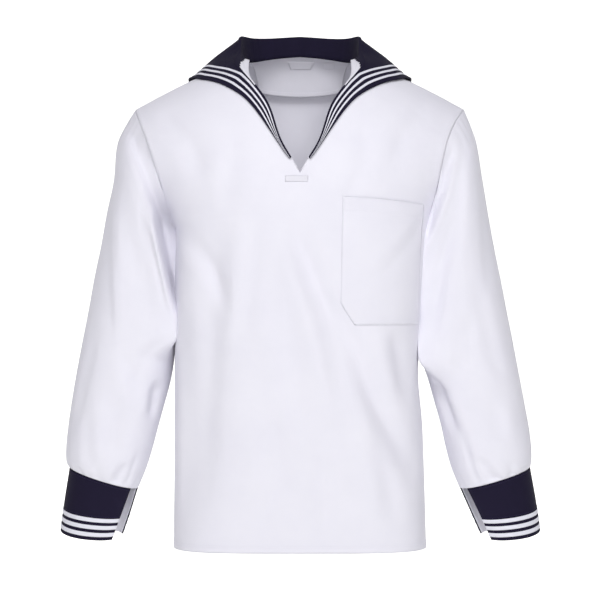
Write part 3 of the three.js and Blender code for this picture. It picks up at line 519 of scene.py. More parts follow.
def body_panel(rows, places, count, folds, facing):
    """Both halves of a panel, from the wearer's right to left, from the shoulder to the hem."""
    sheet = Sheet()
    grid = []
    f = np.arange(count + 1) / count
    down = 0.0
    last_mid = None
    for place in places:
        r = row_at(rows, place)
        limit = VEE_ROW if facing < 0 else BACK_NECK_ROW
        neck = 0 if place >= limit - 1e-6 else max(0, r["neck"])
        if facing > 0:
            neck = back_neck(place)
        mid = np.array([0, r["midY"], r["midZ"]])
        down += 0 if last_mid is None else np.linalg.norm(mid - last_mid)
        last_mid = mid
        made = {"place": place}
        for half in (-1, 1):
            line = body_line(rows, place, half)
            pts = points_along(line, neck, None, f)
            settle = float(ramp(place, 2, POCKET_ROWS[0])) if facing < 0 else 0
            if settle > 0:
                side = max(POCKET_INNER, neck + 5)
                a, b = KNOTS
                near = points_along(line, neck, side, f / a)
                over = points_along(line, side, POCKET_OUTER, (f - a) / (b - a))
                far = points_along(line, POCKET_OUTER, None, (f - b) / (1 - b))
                x = np.where(f <= a, near[:, 0], np.where(f <= b, over[:, 0], far[:, 0]))
                x = lerp(np.abs(pts[:, 0]), np.abs(x), settle)
                end = pts[-1]
                pts = at_run(line, np.abs(line[:, 0]), x)
                pts[-1] = end
            start = np.interp(abs(pts[0, 0]), np.abs(line[:, 0]), runs_of(line))
            across = start + runs_of(pts)
            normals = [None] * (count + 1)
            if place < 1e-6:
                normals = [[half * lerp(0.3, 0.45, k), 0, 1] for k in f]
            if place < UNDERARM_ROW - 1e-6:
                normals[-1] = edge_normal(pts[-1], half, facing, place)
            else:
                normals[-1] = [half, 0, 0]
            if place < 1e-6:
                normals[-1] = [half * 0.5, 0, 0.87]
                pts[:, 1] += facing * SEAM * 0.5
            elif place >= UNDERARM_ROW - 1e-6:
                pts[-1, 1] += facing * SEAM * 0.5
            uvs = [(half * a, -down) for a in across]
            if half < 0:
                made["right"] = sheet.row(pts[::-1], uvs[::-1], normals[::-1])
            else:
                made["left"] = sheet.row(pts, uvs, normals)
        grid.append(made)
    sheet.grid([g["right"] for g in grid], facing > 0)
    sheet.grid([g["left"] for g in grid], facing > 0)
    normals = sheet.normals()
    pts = np.array(sheet.points)
    raised = CALM_RISE * ramp(pts[:, 2], CALM_LOW, CALM_HIGH)
    calm = 1 - ramp(np.abs(pts[:, 0]), CALM_FROM + raised, CALM_TO + raised)
    push = fold_push(folds, pts[:, 0], pts[:, 2]) * calm
    # The hem is turned up: a second layer stands proud below its stitch line
    turned = HEM_Z + HEM_TURN
    push = push + TURNED_RISE * (1 - ramp(pts[:, 2], turned - 1.0, turned + 1.5))
    sheet.points = (pts + normals * push[:, None]).tolist()
    return sheet, grid


COLUMNS = 52
BACK_COLUMNS = 44
# Shares of a front row's columns that end at the pocket's inner and outer sides
KNOTS = (4 / 13, 10 / 13)
FRONT_PLACES = spread((0, UNDERARM_ROW, 64), (UNDERARM_ROW, HEM_ROW, 84))
BACK_PLACES = spread((0, BACK_NECK_ROW, 28), (BACK_NECK_ROW, UNDERARM_ROW, 48), (UNDERARM_ROW, HEM_ROW, 70))
front_sheet, front_grid = body_panel(FRONT, FRONT_PLACES, COLUMNS, FRONT_FOLDS, -1)
back_sheet, back_grid = body_panel(BACK, BACK_PLACES, BACK_COLUMNS, BACK_FOLDS, 1)


SINK_DEPTH, SINK_REACH = 0.4, 7


def sink_edges(sheet, grid):
    """Lowers the last columns of a panel towards the seam, so that the seam reads as a groove."""
    normals = sheet.normals()
    pts = np.array(sheet.points)
    for g in grid:
        if g["place"] > UNDERARM_ROW:
            continue
        for row in (g["right"], g["left"][::-1]):
            edge = pts[row[0]].copy()
            for k in row[1:8]:
                d = np.linalg.norm(pts[k] - edge)
                pts[k] += normals[k] * SINK_DEPTH * math.exp(-(((d - SINK_REACH) / (0.45 * SINK_REACH)) ** 2))
    sheet.points = pts.tolist()


sink_edges(front_sheet, front_grid)
sink_edges(back_sheet, back_grid)


class Panel:
    """A finished panel that can be read between its rows and columns; column 0 is the centre."""

    def __init__(self, sheet, grid):
        self.places = np.array([g["place"] for g in grid])
        self.points, self.normals, self.uvs = np.array(sheet.points), sheet.normals(), np.array(sheet.uv)
        self.keys = {"right": np.array([g["right"][::-1] for g in grid]),
                     "left": np.array([g["left"] for g in grid])}

    def row_of(self, place):
        return float(np.interp(place, self.places, np.arange(len(self.places))))

    def mixed(self, data, side, row, col):
        keys = self.keys[side]
        row, col = np.broadcast_arrays(np.asarray(row, float), np.asarray(col, float))
        i = np.clip(np.floor(row).astype(int), 0, keys.shape[0] - 2)
        j = np.clip(np.floor(col).astype(int), 0, keys.shape[1] - 2)
        fi, fj = (row - i)[..., None], (col - j)[..., None]
        return between(data[keys], i, j, fi, fj)

    def sample(self, side, row, col, out=0.0):
        way = unit(self.mixed(self.normals, side, row, col))
        return self.mixed(self.points, side, row, col) + way * np.asarray(out)[..., None]

    def edge_line(self, side, row_from, row_to, inset, out):
        """A line at a distance inside the outer edge of the panel."""
        line = []
        for row in range(math.ceil(row_from), math.floor(row_to) + 1):
            keys = self.keys[side][row][::-1]
            runs = runs_of(self.points[keys])
            j = np.interp(inset, runs, np.arange(len(keys)))
            line.append(self.sample(side, row, len(keys) - 1 - j, out))
        return line


front_panel = Panel(front_sheet, front_grid)
back_panel = Panel(back_sheet, back_grid)
front = wall("front_cloth", front_sheet, front_sheet.faces, 0, CLOTH, WHITE_TWILL)
back = wall("back_cloth", back_sheet, back_sheet.faces, 0, CLOTH, WHITE_TWILL)
finish_piece(front, "front")
finish_piece(back, "back")

# Pattern map: x across, g the distance over the cloth from the shoulder top, front
# positive and back negative, laid on the body's surface without its folds
DRAPE_STEP = 1.5
DRAPE_X = np.arange(0, 252.0, DRAPE_STEP)
DRAPE_G = np.arange(0, 420.0, DRAPE_STEP)


def drape_table(rows, half):
    lines = [body_line(rows, place, half) for place in np.linspace(0, 10, 121)]
    cols = np.stack([at_run(line, np.abs(line[:, 0]), DRAPE_X) for line in lines])
    out = np.empty((len(DRAPE_X), len(DRAPE_G), 3))
    for i in range(len(DRAPE_X)):
        out[i] = at_run(cols[:, i], runs_of(cols[:, i]), DRAPE_G)
    return out


PANELS = {-1: FRONT, 1: BACK}
DRAPE = {(facing, half): drape_table(rows, half) for facing, rows in PANELS.items() for half in (-1, 1)}


def drape(x, g):
    x, g = np.broadcast_arrays(np.asarray(x, float), np.asarray(g, float))
    out = np.zeros(x.shape + (3,))
    for (facing, half), data in DRAPE.items():
        here = ((x < 0) == (half < 0)) & ((g >= 0) == (facing < 0))
        if not here.any():
            continue
        a = np.clip(np.abs(x[here]) / DRAPE_STEP, 0, len(DRAPE_X) - 1.001)
        b = np.clip(np.abs(g[here]) / DRAPE_STEP, 0, len(DRAPE_G) - 1.001)
        i, j = a.astype(int), b.astype(int)
        out[here] = between(data, i, j, (a - i)[:, None], (b - j)[:, None])
    return out


NORMAL_REACH = 4


def drape_normal(x, g):
    x, g = np.asarray(x, float), np.asarray(g, float)
    down = drape(x, g + NORMAL_REACH) - drape(x, g - NORMAL_REACH)
    return unit(np.cross(down, drape(x + NORMAL_REACH, g) - drape(x - NORMAL_REACH, g)))


def column_to(facing, half, place, x, steps):
    """Length over the cloth from the shoulder down to a place, in the column at |x|."""
    lines = [body_line(PANELS[facing], p, half) for p in np.linspace(0, place, steps)]
    return float(runs_of(np.array([at_run(line, np.abs(line[:, 0]), x) for line in lines]))[-1])


def neck_pattern(at, half):
    """The neckline's place at as a place of the pattern: front positive, back negative."""
    facing = -1 if at >= 0 else 1
    place = abs(at)
    x = row_at(FRONT, place)["neck"] if facing < 0 else back_neck(place)
    steps = max(2, math.ceil(place * 12))
    return half * x, -facing * column_to(facing, half, place, max(x, 0.01), steps + 1)


def at_height(x, z, facing):
    """The distance g at which a column of the pattern has come down to the height z."""
    data = DRAPE[(facing, -1 if x < 0 else 1)]
    col = data[int(round(abs(x) / DRAPE_STEP))]
    k = int(np.argmax(col[:, 2]))
    return -facing * float(np.interp(-z, -col[k:, 2], DRAPE_G[k:]))


# Sleeves: rings run from the armhole to the cuff seam
RING_COLUMNS = "outerZ outerRight outerLeft innerZ innerRight innerLeft frontY backY"
SLEEVE = table(RING_COLUMNS, [
    [-61, 230, 230, -238, 173, 180, -66, 78],
    [-106, 254, 246, -252, 173.7, 179.3, -70, 77],
    [-160, 260, 255.5, -272, 174, 177.2, -71, 75],
    [-205, 270, 263, -296, 174.5, 174.8, -69, 71],
    [-250, 278, 271, -322, 174.8, 172.7, -67, 66],
    [-295, 287.5, 280, -348, 175, 170.4, -66, 63],
    [-340, 295.5, 288.5, -377, 175.1, 167.9, -65, 60],
    [-385, 304, 297.5, -407, 175.8, 169, -63, 58],
    [-430, 312.5, 306, -438, 180.5, 179, -61, 56],
    [-472, 319.5, 314, -470, 188.7, 188, -59, 53],
    [-508, 324.5, 320.5, -502, 197.6, 197, -57, 49],
    [-535, 327, 323.5, -534, 206, 204, -54, 45],
    [-553, 326.5, 323.5, -563, 215, 212, -50, 41],
    [-560, 322, 321.5, -590, 226.5, 223.5, -43, 33],
])
CUFF = table(RING_COLUMNS, [
    [-560.5, 322, 321.6, -590.5, 226.6, 223.6, -42.8, 32.9],
    [-604, 329, 329.5, -624, 237, 238.5, -40, 30],
    [-648, 335, 336, -656, 248, 253, -38, 28],
])
RING_SIDES = 156
RING_TURNS = [0, 20, 45, 70, 95, 120, 145, 165, 180]
LEAN = 0.12
ARMHOLE_GAP = 0.35
CREASE_COLUMNS = "ring0 turn0 ring1 turn1 depth wide"
CREASES = {
    -1: table(CREASE_COLUMNS, [
        [8.6, 92, 11.4, 78, 4, 12],
        [8.1, 42, 9.6, 34, 6, 10],
        [11.6, 62, 13.2, 70, 4, 9],
        [3, 250, 7, 280, 4, 16],
        [1.2, 84, 4.4, 60, 2.2, 8],
        [5.6, 60, 8.4, 74, 2, 9],
        [9.2, 118, 12.2, 104, 1.8, 9],
        [6.6, 132, 9.8, 140, 1.6, 10],
        [11.2, 46, 13.2, 50, 2, 5],
        [11.8, 96, 13.3, 100, 1.5, 6],
        [12, 128, 13.3, 130, 1.2, 6],
        [0.4, 66, 1.9, 56, 1.6, 7],
        [1.1, 300, 4.6, 326, 3, 12],
        [7.2, 236, 10.4, 222, 2.4, 12],
        [11.4, 208, 13.3, 200, 1.5, 8],
        [11.7, 262, 13.3, 268, 1.8, 8],
        [11.2, 318, 13.3, 312, 2, 8],
    ]),
    1: table(CREASE_COLUMNS, [
        [7.8, 30, 10.2, 42, 7, 11],
        [11.3, 74, 13.2, 88, 4, 9],
        [8.8, 104, 10.4, 98, 3, 11],
        [3, 244, 7.4, 284, 4, 16],
        [0.8, 96, 3.4, 76, 2, 9],
        [5, 108, 8.2, 118, 1.8, 10],
        [4.6, 44, 7.4, 60, 2.4, 9],
        [10.4, 56, 13.1, 62, 2.2, 6],
        [11.6, 112, 13.3, 114, 1.5, 6],
        [12.1, 144, 13.3, 140, 1.2, 6],
        [0.4, 60, 1.6, 50, 1.8, 7],
        [1.4, 306, 4.2, 330, 3, 12],
        [6.8, 230, 10.2, 240, 2.4, 12],
        [11.4, 214, 13.3, 220, 1.6, 8],
        [11.6, 276, 13.3, 270, 1.8, 8],
    ]),
}
# Drops on the front of a sleeve in front view; deepSide 1 is the side towards -x
STEP_COLUMNS = "x0 z0 x1 z1 x2 z2 depth wide deepSide reach"
SLEEVE_STEPS = {
    -1: table(STEP_COLUMNS, [
        [-245, -90, -222, -150, -202, -204, 9, 4.5, -1, 60],
        [-207, -184, -191, -258, -173, -340, 52, 3.5, -1, 110],
        [-256, -150, -256, -260, -249, -380, 4.5, 6, 1, 80],
    ]),
    1: table(STEP_COLUMNS, [
        [215, -118, 201, -178, 180, -238, 12, 3.5, 1, 60],
        [217, -230, 204, -310, 190, -392, 8, 8, 1, 60],
        [241, -96, 242, -190, 247, -310, 4.5, 7, -1, 80],
    ]),
}
# Soft folds on the front of a sleeve in front view
SLEEVE_FOLDS = {
    -1: table(FOLD_COLUMNS, [
        [-228, -246, -214, -300, -206, -362, 2.6, 12, 0.4],
        [-240, -400, -226, -440, -214, -470, 2.2, 11, 0.4],
        [-238, -190, -232, -260, -236, -350, 2, 14, 0.4],
    ]),
    1: table(FOLD_COLUMNS, [
        [226, -226, 222, -320, 214, -400, -2.4, 13, 0],
        [232, -350, 226, -390, 214, -440, 2.2, 10, 0.4],
        [222, -110, 218, -150, 214, -210, 2, 10, 0.4],
    ]),
}
# Where a sleeve's inner front corner lies against the body: rows from, full, fading, to
SLEEVE_CLOSE = {-1: (-0.6, 0.3, 6.0, 7.2), 1: (-0.6, 0.3, 7.0, 8.4)}
CLOSE_CORNER = 15
CLOSE_AT, CLOSE_WIDE = 48, 20
RING_POWER, CLOSE_POWER = 0.92, 0.4


def ring_point(r, half, angle, close=0.0):
    """A point of a sleeve's or cuff's ring: angle 0 is the inner side, 90 the front, 180 the outer."""
    outer = np.array([half * (r["outerRight"] if half < 0 else r["outerLeft"]), 0, r["outerZ"]])
    inner = np.array([half * (r["innerRight"] if half < 0 else r["innerLeft"]), 0, r["innerZ"]])
    middle = (outer + inner) / 2
    c, s = math.cos(math.radians(angle)), math.sin(math.radians(angle))
    power = lerp(RING_POWER, CLOSE_POWER, close) if c > 0 and s > 0 else RING_POWER
    p = middle + (inner - middle) * math.copysign(abs(c) ** power, c)
    p[1] = -math.copysign(abs(s) ** power, s) * (-r["frontY"] if angle < 180 else r["backY"])
    p[2] += p[1] * LEAN * 0.5
    p[0] -= half * CLOSE_CORNER * close * math.exp(-(((angle - CLOSE_AT) / CLOSE_WIDE) ** 2))
    return p


def crease_push(creases, ring, angle):
    """How far the creases of one ring move its cloth out; turn and wide are angles round the ring."""
    push = np.zeros_like(angle)
    for f in rows_of(creases):
        along = (ring - f["ring0"]) / (f["ring1"] - f["ring0"])
        ends = float(ramp(along, -0.15, 0.25)) * (1 - float(ramp(along, 0.7, 1.1)))
        off = (angle - lerp(f["turn0"], f["turn1"], min(max(along, 0), 1)) + 180) % 360 - 180
        gap = off / f["wide"]
        push += ends * f["depth"] * (0.35 * np.exp(-((gap - 1.8) ** 2)) - np.exp(-(gap ** 2)))
    return push


def body_edge(half, angle):
    """The armhole edge of the body, from the underarm at 0 round the front to the top at 180."""
    facing = -1 if angle <= 180 else 1
    place = float(np.interp(abs(180 - angle), RING_TURNS, np.arange(9)))
    p = body_line(FRONT if facing < 0 else BACK, place, half)[-1]
    keep = 1 - float(ramp(place, 5, 7))
    return p, unit(armhole_normal(p, half) * keep + np.array([-half, 0.25 * facing, 0]) * (1 - keep))


# Small puckers at the armhole and gathers at the cuff: heights, millimetres
PUCKER = 0.35
GATHER = 0.6
# The folds act on the front of the sleeve: none behind the first y, all before the second
FRONT_SHARE = (-10, 14)


def sleeve(half, places):
    sheet = Sheet()
    axis = unit([half * 0.94, 0, -0.34])
    edges = [body_edge(half, j * 360 / RING_SIDES) for j in range(RING_SIDES)]
    angles = np.arange(RING_SIDES + 1) * 360 / RING_SIDES
    rings, down, last = [], 0.0, None
    for place in places:
        r = row_at(SLEEVE, place)
        a, b, c, d = SLEEVE_CLOSE[half]
        close = float(ramp(place, a, b)) * (1 - float(ramp(place, c, d)))
        ring = np.array([ring_point(r, half, angle, close) for angle in angles])
        normals = [None] * (RING_SIDES + 1)
        if place < 1:
            start = np.array([edges[j % RING_SIDES][0] for j in range(RING_SIDES + 1)]) + axis * ARMHOLE_GAP
            ring = start + (ring - start) * float(ramp(place, 0, 1))
            if place < 1e-6:
                normals = [edges[j % RING_SIDES][1] for j in range(RING_SIDES + 1)]
        middle = ring[:-1].mean(0)
        down += 0 if last is None else np.linalg.norm(middle - last)
        last = middle
        rings.append((ring, runs_of(ring), down, normals))
    grid = []
    for ring, runs, down, normals in rings:
        row = sheet.row(ring[:-1], [(a, -down) for a in runs[:-1]], normals[:-1])
        grid.append(row + [row[0]])
    sheet.grid(grid, half < 0)
    normals = sheet.normals()
    pts = np.array(sheet.points)
    turns = np.radians(angles[:-1])
    for place, row in zip(places, grid):
        keys = row[:-1]
        x, z = pts[keys, 0], pts[keys, 2]
        front = ramp(-pts[keys, 1], *FRONT_SHARE)
        back = (fold_push(SLEEVE_FOLDS[half], x, z) + step_push(SLEEVE_STEPS[half], x, z)) * front
        calm = float(ramp(place, 0, 0.8)) * (1 - float(ramp(place, 12.7, 13)))
        small = PUCKER * float(ramp(place, 0.03, 0.3)) * (1 - float(ramp(place, 0.3, 1.1)))
        pucker = small * np.sin(turns * 23 + 2.2 * np.sin(turns * 5)) * (angles[:-1] > 60)
        gathered = GATHER * float(ramp(place, 12.2, 12.9)) * (1 - float(ramp(place, 12.94, 13)))
        gather = gathered * np.sin(turns * 17 + 3 * np.sin(turns * 3))
        push = crease_push(CREASES[half], place, angles[:-1]) * calm
        pts[keys, 1] -= back * calm
        pts[keys] += normals[keys] * (push + pucker + gather)[:, None]
    sheet.points = pts.tolist()
    return sheet, grid


SLEEVE_PLACES = spread((0, 1, 14), (1, 12, 88), (12, 13, 14))
for half, side in ((-1, "right"), (1, "left")):
    sheet, grid = sleeve(half, SLEEVE_PLACES)
    obj = wall(f"sleeve_cloth_{side}", sheet, sheet.faces, 0, CLOTH, WHITE_TWILL)
    finish_piece(obj, f"sleeve_{side}")

# Breast pocket: laid on the front by the front's own points, one lower corner clipped
POCKET_COLUMNS = (16, 40)
POCKET_CLIP = (9.5, 4)
POCKET_OPEN, POCKET_FULL, POCKET_HEM_RISE = 0.9, 0.3, 0.2
POCKET_HEM = (0.155, 0.172)


def pocket_map(v, u, out):
    """A place on the pocket: v down, u across, both 0 to 1."""
    v, u = np.broadcast_arrays(np.asarray(v, float), np.asarray(u, float))
    top, bottom, clip = (front_panel.row_of(p) for p in (*POCKET_ROWS, POCKET_CLIP[0]))
    row = lerp(top, bottom, v)
    start = POCKET_COLUMNS[0] - 0.9 * v + POCKET_CLIP[1] * np.clip((row - clip) / (bottom - clip), 0, None)
    end = POCKET_COLUMNS[1] + lerp(2.4, -0.8, v)
    return front_panel.sample("left", row, lerp(start, end, u), out)


def pocket_rise(v, u):
    """How far the pocket's cloth stands off: open a little at the top, full in the middle, hemmed."""
    across = np.sin(math.pi * u)
    puff = POCKET_OPEN * across * (1 - v) ** 1.6 + POCKET_FULL * across * np.sin(math.pi * v)
    return puff + POCKET_HEM_RISE * (1 - ramp(v, *POCKET_HEM))


def pocket():
    sheet, grid = Sheet(), []
    u = np.linspace(0, 1, 37)
    for v in np.linspace(0, 1, 61):
        pts = pocket_map(v, u, POCKET_REST + POCKET_CLOTH + pocket_rise(v, u))
        grid.append(sheet.row(pts, [(float(p[0]), float(p[2])) for p in pts]))
    sheet.grid(grid, False)
    return sheet


pocket_sheet = pocket()
pocket_obj = wall("pocket_cloth", pocket_sheet, pocket_sheet.faces, 0, POCKET_CLOTH, WHITE_TWILL)
finish_piece(pocket_obj, "breast_pocket")

# Facing inside the back neck, its lower edge hanging in a shallow curve
FACING_MIDDLE_Z = -33
FACING_SIDE_X = (77, 60)
FACING_HANG = 8
FACING_U = np.linspace(-1, 1, 61)
FACING_V = np.linspace(0, 1, 31)


def facing_spots():
    """Pattern places of the facing: rows from the neckline down, columns across."""
    v = FACING_V[:, None]
    x_top, x_low = FACING_U * FACING_SIDE_X[0], FACING_U * FACING_SIDE_X[1]
    g_top = []
    for x in x_top:
        place = BACK_NECK_ROW * math.sqrt(1 - (x / NECK_HALF) ** 2)
        g_top.append(-column_to(1, -1 if x < 0 else 1, place, abs(x), 25))
    g_low = np.array([at_height(x, FACING_MIDDLE_Z + 6 * u * u, 1) for x, u in zip(x_low, FACING_U)])
    return lerp(x_top, x_low, v ** 0.8), lerp(np.array(g_top), g_low, v)


facing_x, facing_g = facing_spots()
facing_sheet = Sheet()
facing_normals = drape_normal(facing_x, np.minimum(facing_g, -6))
facing_points = drape(facing_x, np.minimum(facing_g, -0.01))
facing_off = TURNED_RISE * ramp(FACING_V, 0.9, 0.94) + FACING_HANG * ramp(FACING_V, 0.2, 1.1)
facing_points -= facing_normals * facing_off[:, None, None]
facing_rows = [facing_sheet.row(pts, list(zip(x, g)), list(nrm)) for pts, x, g, nrm in
               zip(facing_points, facing_x, facing_g, facing_normals)]
facing_sheet.grid(facing_rows, True)
# The facing wears the greyer cotton, whose grey is painted shade
facing_obj = wall("facing_cloth", facing_sheet, facing_sheet.faces, -CLOTH - SEAM, FACING_CLOTH,
                  FACING_TWILL_PAINTED_SHADE)
finish_piece(facing_obj, "back_neck_facing")

# Sailor collar: outer edge in the pattern, neckline place it is joined to, stand height
COLLAR = table("neckAt edgeX edgeG stand", [
    [4.5, 14, 218, 0.6],
    [4.3, 21, 208, 0.8],
    [3.9, 32, 189, 1.0],
    [3.5, 43, 169, 1.2],
    [3.05, 54, 149, 1.4],
    [2.7, 65, 130, 1.5],
    [2.4, 76, 113, 1.6],
    [2.05, 88, 98, 1.6],
    [1.65, 99, 85, 1.6],
    [1.15, 111, 71, 2.0],
    [0.6, 124, 56, 5.0],
    [0.15, 137, 40, 14],
    [-0.2, 147, 21, 25],
    [-0.5, 153, 3, 30],
    [-0.75, FLAP_HALF, -20, 30.5],
    [-0.9, FLAP_HALF, -65, 30],
    [-1.02, FLAP_HALF, -115, 29.4],
    [-1.12, FLAP_HALF, -165, 28.6],
    [-1.22, FLAP_HALF, -215, 27.8],
    [-1.32, FLAP_HALF, -263, 27],
    [-1.45, 124, -276, 26],
    [-1.6, 93, -289, 25],
    [-1.75, 62, -301, 24.2],
    [-1.88, 31, -314, STAND],
    [-2, 0, -322.5, STAND],
])
# Extra room between the collar's fold and the neck edge at the shoulder
NECK_EDGE_SHOWN = 9
NECK_EDGE_IN = 13
# How far the stand covers the back neck seam: down and in
SEAM_COVER = (2.2, 3.4)
STRAIGHT_ROW = 14
CORNER_ROW = 19
LAST_ROW = 24
FALL_STEPS = 16
TURN_STEPS = 8
COLLAR_MARKS = spread((0, STRAIGHT_ROW, 56), (STRAIGHT_ROW, CORNER_ROW - 1, 16),
                      (CORNER_ROW - 1, CORNER_ROW, 2), (CORNER_ROW, CORNER_ROW + 1, 1),
                      (CORNER_ROW + 1, LAST_ROW, 12))
# Distances in from the collar's edge, with every tape edge among them
INSETS = [0, 1.2, 3, 5.4, 6.4, 7.5, 8.5, 10.7, 13.0, 14, 15.1, 16.1, 18.3, 20.6, 21.6, 22.7, 23.7]


def collar_row(mark):
    if mark < STRAIGHT_ROW:
        return row_at(COLLAR, mark)
    i = min(int(mark), LAST_ROW - 1)
    return {name: lerp(v[i], v[i + 1], mark - i) for name, v in COLLAR.items()}


def collar_half(sheet, half):
    rows = [collar_row(m) for m in COLLAR_MARKS]
    flat = [np.array([half * r["edgeX"], r["edgeG"]]) for r in rows]

    def inward(a, b):
        d = (b - a) / np.linalg.norm(b - a)
        return np.array([half * d[1], -half * d[0]])

    grid, along = [], 0.0
    for i, r in enumerate(rows):
        edge = flat[i]
        along += np.linalg.norm(edge - flat[i - 1]) if i else 0
        before = inward(flat[i - 1], edge) if i else inward(edge, flat[1])
        after = inward(edge, flat[i + 1]) if i + 1 < len(flat) else np.array([0, 1.0])
        mitre = (before + after) / (1 + before @ after)
        if i + 1 == len(flat):
            mitre = np.array([0, 1.0])
        neck = np.array(neck_pattern(r["neckAt"], half))
        width = np.linalg.norm(neck - edge)
        to_edge = (edge - neck) / width
        roll = lerp(1.2, ROLL, float(ramp(width, 26, 60)))
        opened = float(ramp(r["neckAt"], 0.3, 1.0)) * (1 - float(ramp(r["neckAt"], 1.05, 2.3)))
        tuck = min(2 * roll + NECK_EDGE_SHOWN * opened, width)
        fall_end = neck + to_edge * tuck
        room = width - tuck
        spots = []
        for inset in INSETS:
            f = inset / max(room, INSETS[-1] + 1)
            narrow = lerp(edge, fall_end, f)
            wide = edge + mitre * inset
            spots.append(lerp(narrow, wide, float(ramp(width, 31, 37))))
        last = spots[-1]
        for f in 1 - (1 - np.linspace(0, 1, FALL_STEPS + 1)[1:]) ** 1.8:
            spots.append(lerp(last, fall_end, f))
        spots = np.array(spots)
        rest = COLLAR_CLOTH + COLLAR_REST + FLAP_LIFT * float(ramp(-r["neckAt"], 0, 0.8))
        top = COLLAR_START + r["stand"] + roll
        fall = min(max(room, 4), COLLAR_FALL)
        base = drape(*neck)
        raised = np.array([0, 0, 1]) * float(ramp(r["stand"], 1, 12)) * 0.9
        upright = unit(drape_normal(*neck) * 0.35 + raised)
        f = np.clip(np.linalg.norm(spots - fall_end, axis=1) / fall, 0, 1)
        lift = rest + max(0, top - rest) * (1 - f) ** 1.15
        # The loose edge waves a little off the body
        wave = 0.7 * (1 + np.sin(along / 34 + half)) * ramp(f, 0.2, 1) * float(ramp(width, 40, 60))
        w = ramp(f, 0, 0.6)[:, None]
        way = unit(lerp(upright, drape_normal(spots[:, 0], spots[:, 1]), w))
        pts = list(drape(spots[:, 0], spots[:, 1]) + way * (lift + wave)[:, None])
        crest_out = pts[-1] - (base + upright * top)
        out = unit(crest_out - upright * (crest_out @ upright))
        reach = float(np.linalg.norm(crest_out - upright * (crest_out @ upright))) / 2
        foot = lerp(top, COLLAR_START + 0.4, opened)
        for k in range(1, TURN_STEPS + 1):
            a = math.pi * k / TURN_STEPS
            up = lerp(top, foot, (k / TURN_STEPS) ** 1.4) + 0.6 * roll * math.sin(a)
            pts.append(base + out * reach * (1 + math.cos(a)) + upright * up)
        shown = float(ramp(r["neckAt"], 0.2, 0.85)) * (1 - float(ramp(r["neckAt"], 1.0, 2.4)))
        edge_in = NECK_EDGE_IN * shown
        over = float(ramp(-r["neckAt"], -0.1, 0.3))
        for f in np.linspace(0, 1, 6)[1:]:
            up = lerp(foot, lerp(COLLAR_START, -SEAM_COVER[0], over), f)
            sag = np.array([0, 0, 0.25 * edge_in * f * f])
            pts.append(base + upright * up - out * (edge_in + SEAM_COVER[1] * over) * f - sag)
        across = runs_of(np.array(pts))
        grid.append(sheet.row(pts, [(half * along, a) for a in across]))
    sheet.grid(grid, half < 0)
    return grid


collar_sheet = Sheet()
collar_grid = {half: collar_half(collar_sheet, half) for half in (-1, 1)}
collar_normals = collar_sheet.normals()


def strip_faces(grids):
    part = Sheet()
    for rows, flip in grids:
        part.grid(rows, flip)
    return part.faces


# The inner side of the fold is faced in white from the front of the neck to the shoulder
FACED_FROM = len(INSETS) + FALL_STEPS + 2
# Neck places where the facing starts, at the fold and at the neck edge, and where it stops
FACED_FOLD, FACED_EDGE, FACED_STOP = 1.3, 0.55, 2.45
faced_columns = range(FACED_FROM, len(collar_grid[1][0]) - 1)
faced_grids = []
for half in (-1, 1):
    for col in faced_columns:
        start = lerp(FACED_FOLD, FACED_EDGE, (col - FACED_FROM) / (len(faced_columns) - 1))
        rows = [k for k, m in enumerate(COLLAR_MARKS) if start <= collar_row(m)["neckAt"] <= FACED_STOP]
        faced_grids.append(([collar_grid[half][k][col:col + 2] for k in rows], half < 0))
faced = strip_faces(faced_grids)
faced_set = {tuple(sorted(ring)) for ring in faced}
navy_faces = [ring for ring in collar_sheet.faces if tuple(sorted(ring)) not in faced_set]
collar = wall("collar_cloth", collar_sheet, navy_faces, 0, COLLAR_CLOTH, NAVY_TWILL, collar_normals)
finish_piece(collar, "collar")
collar_lining = wall("collar_lining_cloth", collar_sheet, faced, 0, COLLAR_CLOTH, WHITE_TWILL, collar_normals)
finish_piece(collar_lining, None)


def tape(replaced, sheet, grids, normals):
    """A white tape laid on the cloth between two of its lines."""
    name = replaced.replace("tape", "tape_cloth")
    strip = wall(name, sheet, strip_faces(grids), TAPE_REST + TAPE_CLOTH, TAPE_CLOTH, WHITE_TAPE, normals)
    finish_piece(strip, replaced)
    return strip


for k in range(3):
    a, b = (INSETS.index(edge) for edge in TAPE_EDGES[2 * k:2 * k + 2])
    grids = [([row[a:b + 1] for row in collar_grid[half]], half < 0) for half in (-1, 1)]
    tape(f"collar_tape_{k + 1}", collar_sheet, grids, collar_normals)

# Cuffs: an open band from the front flap round the outside to the back edge of the slit
FLAP_TOP = 35
FLAP_BOTTOM = 46
BACK_EDGE = 354
CUFF_SIDES = 80
# How far the lower edge dips at the front
CUFF_DIP = 5
CUFF_TOP_STEPS = [0, 0.04, 0.1, 0.16, 0.22, 0.28, 0.34, 0.4, 0.45, 0.5]
# Distances up from the cuff's lower edge, with every tape edge among them
CUFF_MARKS = [33, 30.4, 28.5, 26.6, 24.8, 22.6, 20.4, 18.5, 16.6, 14.8, 12.6, 10.4, 8.5, 6.6, 4.8, 2.4,
              0.8, 0]


def cuff(half):
    sheet = Sheet()

    def at(v, f):
        angle = lerp(lerp(FLAP_TOP, FLAP_BOTTOM, v), BACK_EDGE, f)
        p = ring_point(row_at(CUFF, v * 2), half, angle)
        p[2] -= CUFF_DIP * v ** 2 * max(0, math.sin(math.radians(angle)))
        return p

    shares = np.arange(CUFF_SIDES + 1) / CUFF_SIDES
    talls = np.array([np.linalg.norm(at(1, f) - at(0, f)) for f in shares])
    levels = [np.full_like(talls, v) for v in CUFF_TOP_STEPS] + [1 - mark / talls for mark in CUFF_MARKS]
    rows = []
    for level in levels:
        pts = [at(v, f) for v, f in zip(level, shares)]
        rows.append(sheet.row(pts, list(zip(runs_of(np.array(pts)), -level * talls))))
    sheet.grid(rows, half < 0)
    return sheet, rows


